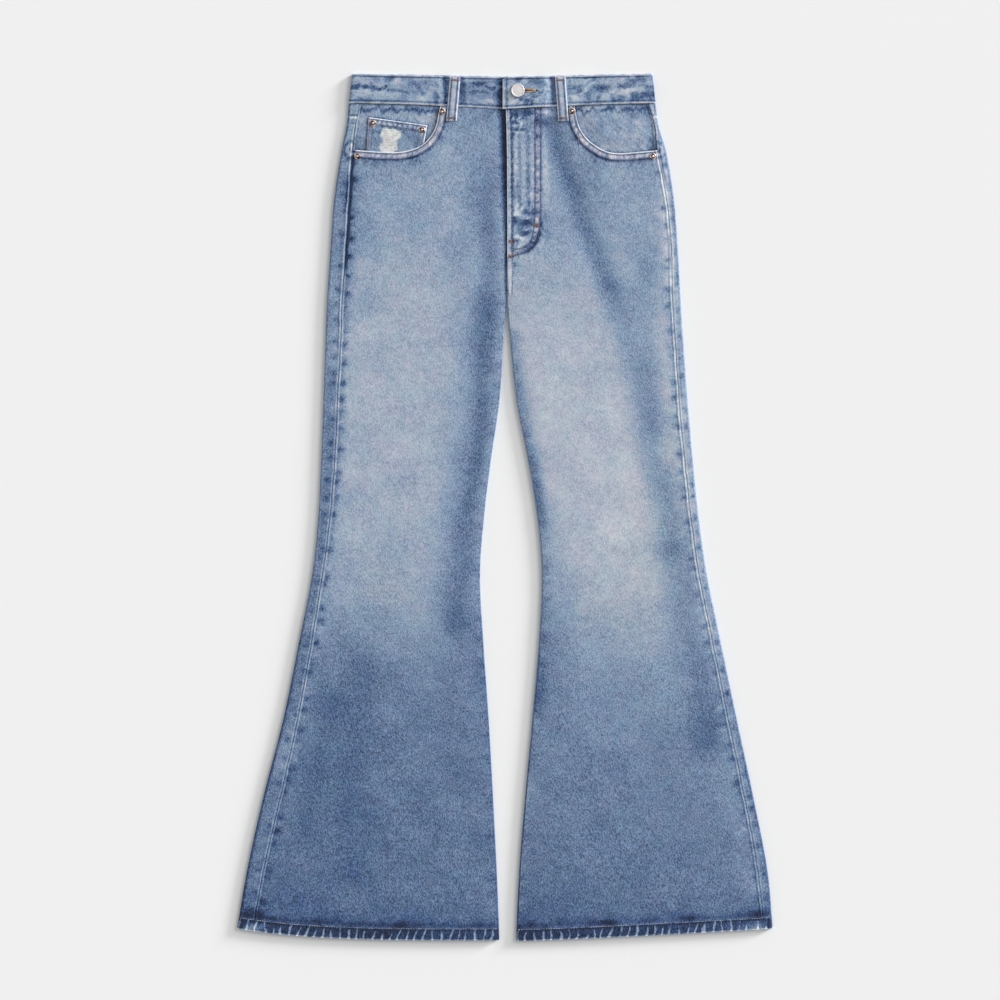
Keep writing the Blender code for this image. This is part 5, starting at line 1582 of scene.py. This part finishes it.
def stitchModel():
    # one stitch along X, with rounded ends, in millimetres
    bpy.ops.object.select_all(action="DESELECT")
    half, radius = sewing["length"] / 2, sewing["radius"]
    bpy.ops.mesh.primitive_cylinder_add(vertices=sewing["sides"], radius=radius, depth=half * 1.3,
                                        rotation=(0, math.pi / 2, 0))
    obj = bpy.context.object
    bpy.ops.object.transform_apply(location=False, rotation=True, scale=False)
    bpy.ops.object.mode_set(mode="EDIT")
    for sign in (1, -1):
        bpy.ops.mesh.select_all(action="DESELECT")
        bpy.ops.object.mode_set(mode="OBJECT")
        for face in obj.data.polygons:
            face.select = face.normal.x * sign > 0.9
        bpy.ops.object.mode_set(mode="EDIT")
        bpy.ops.mesh.select_mode(type="FACE")
        bpy.ops.mesh.extrude_region_move(TRANSFORM_OT_translate={"value": (sign * half * 0.35, 0, 0)})
        bpy.ops.transform.resize(value=(1, 0.45, 0.45))
    bpy.ops.mesh.select_all(action="SELECT")
    bpy.ops.mesh.quads_convert_to_tris()
    bpy.ops.object.mode_set(mode="OBJECT")
    points = np.empty(len(obj.data.vertices) * 3)
    obj.data.vertices.foreach_get("co", points)
    faces = np.array([list(face.vertices) for face in obj.data.polygons])
    bpy.data.objects.remove(obj)
    return points.reshape(-1, 3), faces


stitchPoints, stitchFaces = stitchModel()


def sewAt(piece, places, along, scale=(1, 1, 1)):
    # adds one stitch at each place, turned along the given direction
    along = along / np.linalg.norm(along, axis=1)[:, None]
    across = np.cross(np.array([0.0, 0.0, 1.0]), along)
    across /= np.linalg.norm(across, axis=1)[:, None]
    turned = np.stack([along, across, np.cross(along, across)], 1)
    points = np.einsum("vk,nkj->nvj", stitchPoints * np.array(scale), turned) + places[:, None]
    sewn.setdefault(piece, []).append(points)


def sewRow(piece, line, surface, sink=sewing["above"]):
    # a row of stitches along a line, at a height over the surface and with its slope
    pitch, step = sewing["pitch"], 0.5
    flat, direction = walk(line, pitch, pitch / 2)
    ahead, behind = (np.array(surface(*(flat + direction * reach).T)) for reach in (step, -step))
    draw = np.random.default_rng(1)
    along = np.column_stack([direction, (ahead - behind) / (2 * step)])
    along[:, :2] += draw.normal(0, 0.05, (len(flat), 2))
    sewAt(piece, np.column_stack([flat, surface(*flat.T) + sink]), along)


def sewBar(piece, centre, length, angle, surface, width=2.2):
    # a bartack: short threads packed side by side across its length
    count = max(5, int(length / 0.5))
    at = np.linspace(-length / 2, length / 2, count)
    cos, sin = math.cos(angle), math.sin(angle)
    x, y = centre[0] + at * cos, centre[1] + at * sin
    lean = np.where(np.arange(count) % 2 == 0, 0.2, -0.2)
    draw = np.random.default_rng(int(abs(centre[0]) * 7))
    x, y = x + draw.normal(0, 0.15, count), y + draw.normal(0, 0.25, count)
    z = surface(x, y) + draw.uniform(0.0, 0.25, count)
    along = np.column_stack([-sin + lean * cos, cos + lean * sin, 0 * x])
    sewAt(piece, np.column_stack([x, y, z]), along, (width / sewing["length"], 1.2, 1.2))


def joinSewing():
    for piece, parts in sewn.items():
        points = np.concatenate(parts)
        copies, count = points.shape[:2]
        faces = (stitchFaces[None] + (np.arange(copies) * count)[:, None, None]).reshape(-1, 3)
        mesh = bpy.data.meshes.new(piece)
        mesh.from_pydata((points.reshape(-1, 3) * mm).tolist(), [], faces.tolist())
        mesh.shade_smooth()
        mesh.materials.append(threads[threadOf[piece]])
        obj = linkObject(bpy.data.objects.new(piece, mesh))
        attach(obj, "root")


def sewPanels():
    for side in sides:
        def surface(x, y):
            return frontSurface(side, x, y)

        sewRow("hemStitches", hemLine(side, 80, 3, hemDepth), surface)
        for offset in (2.2, 8.7):
            row = outward(side, offset)
            row = row[row[:, 1] < float(bandLowY(row[0, 0])) - 1]
            row = row[np.abs(row[:, 0]) < np.abs(legEdge(side, "Seam", row[:, 1])) - 1]
            sewRow("pocketStitches", row, surface)


def sewFly():
    def surface(x, y):
        return frontSurface("left", x, y)

    outer = flyJ()
    inner = movedOut(outer, -7.0)
    sewRow("flyStitches", outer, surface)
    sewRow("flyStitches", inner[inner[:, 0] > 7], surface)
    # beside the fly's edge, then down the middle seam
    for shift, low, high, count in ((6.4, 318, 494, 60), (1.6, 266, 312, 20), (7.4, 266, 312, 20)):
        sewRow("flyStitches", seamLine("left", "Inner", low, high, count) + (shift, 0), surface)
    for centre, angle in (((39.1, 352.5), -0.1), ((8.5, 332), 0.1), ((8.1, 314), 0.1)):
        sewBar("flyBartacks", centre, 6.4, angle, surface, 4.2)


def sewBand():
    def surface(x, y):
        lapping, plain = (bandFrontHeight(x, over) for over in (True, False))
        return np.where(x > bandEnds["buttonhole"], lapping, plain)

    for low, high in ((-190, -4), (-1, 183)):
        x = np.linspace(low, high, 90)
        lower = np.stack([x, bandLowY(x) + 1.4], 1)
        upper = np.stack([x * form["bandTaper"], bandTopY(x) - form["bandFrontDrop"] - 2.0], 1)
        sewRow("waistbandLowerStitches", lower, surface)
        sewRow("waistbandUpperStitches", upper, surface)
    x, y = buttonPlace
    # the buttonhole's edges: threads packed across them, closer together at its far end
    across = np.linspace(x + 7.5, x + 22, 34)
    draw = np.random.default_rng(8)
    for shift in (1.0, -1.0):
        apart = np.interp(across, (x + 7.5, x + 22), (2.0, 0.9)) + draw.normal(0, 0.12, len(across))
        places = np.column_stack([across, y + shift * apart, surface(across, 0) + 0.15])
        along = np.column_stack([draw.normal(0.2, 0.2, len(across)), 1 + 0 * across, 0 * across])
        sewAt("buttonholeStitches", places, along, (0.85, 1.2, 1.0))


def sewLoops():
    for top, low in frontLoops.values():
        def surface(x, y):
            return loopTop(sideOf(top[0]), x, y) + 0.05

        for shift in (-3.8, 3.8):
            line = np.linspace((top[0] + shift, top[1] - 1), (low[0] + shift, low[1] + 1), 20)
            sewRow("loopStitches", line, surface)
        for place, inset in ((top, -3.2), (low, 3.4)):
            sewBar("loopBartacks", (place[0], place[1] + inset), 10.5, 0.0, surface)


def sewCoinPocket():
    corners = np.array(coinCorners, float)
    rows = [(0, (3, -inset - 0.4), 1, (-2, -inset)) for inset in (1.7, 7.6)]
    for inset in (1.7, 6.4):
        rows += [(0, (inset, -1), 3, (inset, 10)), (1, (-inset, -1), 2, (-inset, 12))]
    for start, moved, end, movedEnd in rows:
        line = np.linspace(corners[start] + moved, corners[end] + movedEnd, 20)
        sewRow("pocketStitches", line, coinHeight)


def sewBacks():
    def flatSurface(x, y):
        return np.full(np.shape(x), 0.12)

    below = sewing["below"]
    for side in sides:
        outline = backPocketOutline(side)
        middle = outline.mean(0)
        for inset in (0.96, 0.87):
            line = middle + (closed(outline) - middle) * inset
            sewRow("backPocketStitches", line, flatSurface, below)
        for shift in (2.0, 7.0):
            sewRow("yokeStitches", yokeLine(side, 188, 50, shift), backHeight, below)
        sewRow("backHemStitches", hemLine(side, 80, 0, hemDepth)[2:-2], backHeight, below)


# ---- put it together ----

print("front panels")
for side in sides:
    makeFront(side)
print("backs and yokes")
for side in sides:
    makeBack(side)
print("pockets")
for side in sides:
    makeFacing(side)
    makeBackPocket(side)
makeCoinPocket()
print("waistband and loops")
makeWaistband()
for loops in (frontLoops, backLoops):
    for node, ends in loops.items():
        makeLoop(node, ends, loops is frontLoops)
print("button and rivets")
makeButton()
makeRivets()
print("sewing")
sewPanels()
sewFly()
sewBand()
sewLoops()
sewCoinPocket()
sewBacks()
joinSewing()

# ---- floor, light and camera ----

view = {"frameWidth": 1.25, "middle": (-0.00625, 0.00875), "distance": 3.2, "lensWidth": 36.0}
# two suns from the upper right, one low, over an even sky; heights and breadths in degrees
studio = {
    "floor": (0.90, 0.90, 0.90, 1), "sky": 0.484, "heading": 30.0,
    "suns": {"high": (38.0, 30.0, 1.087), "low": (13.6, 14.0, 3.58)},
}


def makeFloor():
    bpy.ops.mesh.primitive_plane_add(size=40, location=(0, 0, -0.0006))
    floor = bpy.context.object
    floor.name = "floor"
    bpy.ops.object.transform_apply(location=True, rotation=False, scale=False)
    material, _, shader = newMaterial("floorPaper")
    shader.inputs["Base Color"].default_value = studio["floor"]
    shader.inputs["Roughness"].default_value = 0.9
    floor.data.materials.append(material)


def makeLights():
    world = bpy.data.worlds.new("studio")
    scene.world = world
    world.use_nodes = True
    back = world.node_tree.nodes["Background"]
    back.inputs[0].default_value = (1, 1, 1, 1)
    back.inputs[1].default_value = studio["sky"]
    heading = math.radians(studio["heading"])
    for name, (height, breadth, energy) in studio["suns"].items():
        light = bpy.data.lights.new(name, "SUN")
        light.energy = energy
        light.angle = math.radians(breadth)
        sun = linkObject(bpy.data.objects.new(name, light))
        flat, down = math.cos(math.radians(height)), math.sin(math.radians(height))
        aim = Vector((-math.cos(heading) * flat, -math.sin(heading) * flat, -down))
        sun.rotation_euler = aim.to_track_quat("-Z", "Y").to_euler()


def makeCamera():
    data = bpy.data.cameras.new("camera")
    data.sensor_width = view["lensWidth"]
    data.lens = view["lensWidth"] * view["distance"] / view["frameWidth"]
    camera = linkObject(bpy.data.objects.new("camera", data))
    camera.location = (*view["middle"], view["distance"] + 0.005)
    scene.camera = camera


print("floor, lights and camera")
makeFloor()
makeLights()
makeCamera()
scene.view_settings.view_transform = "Standard"
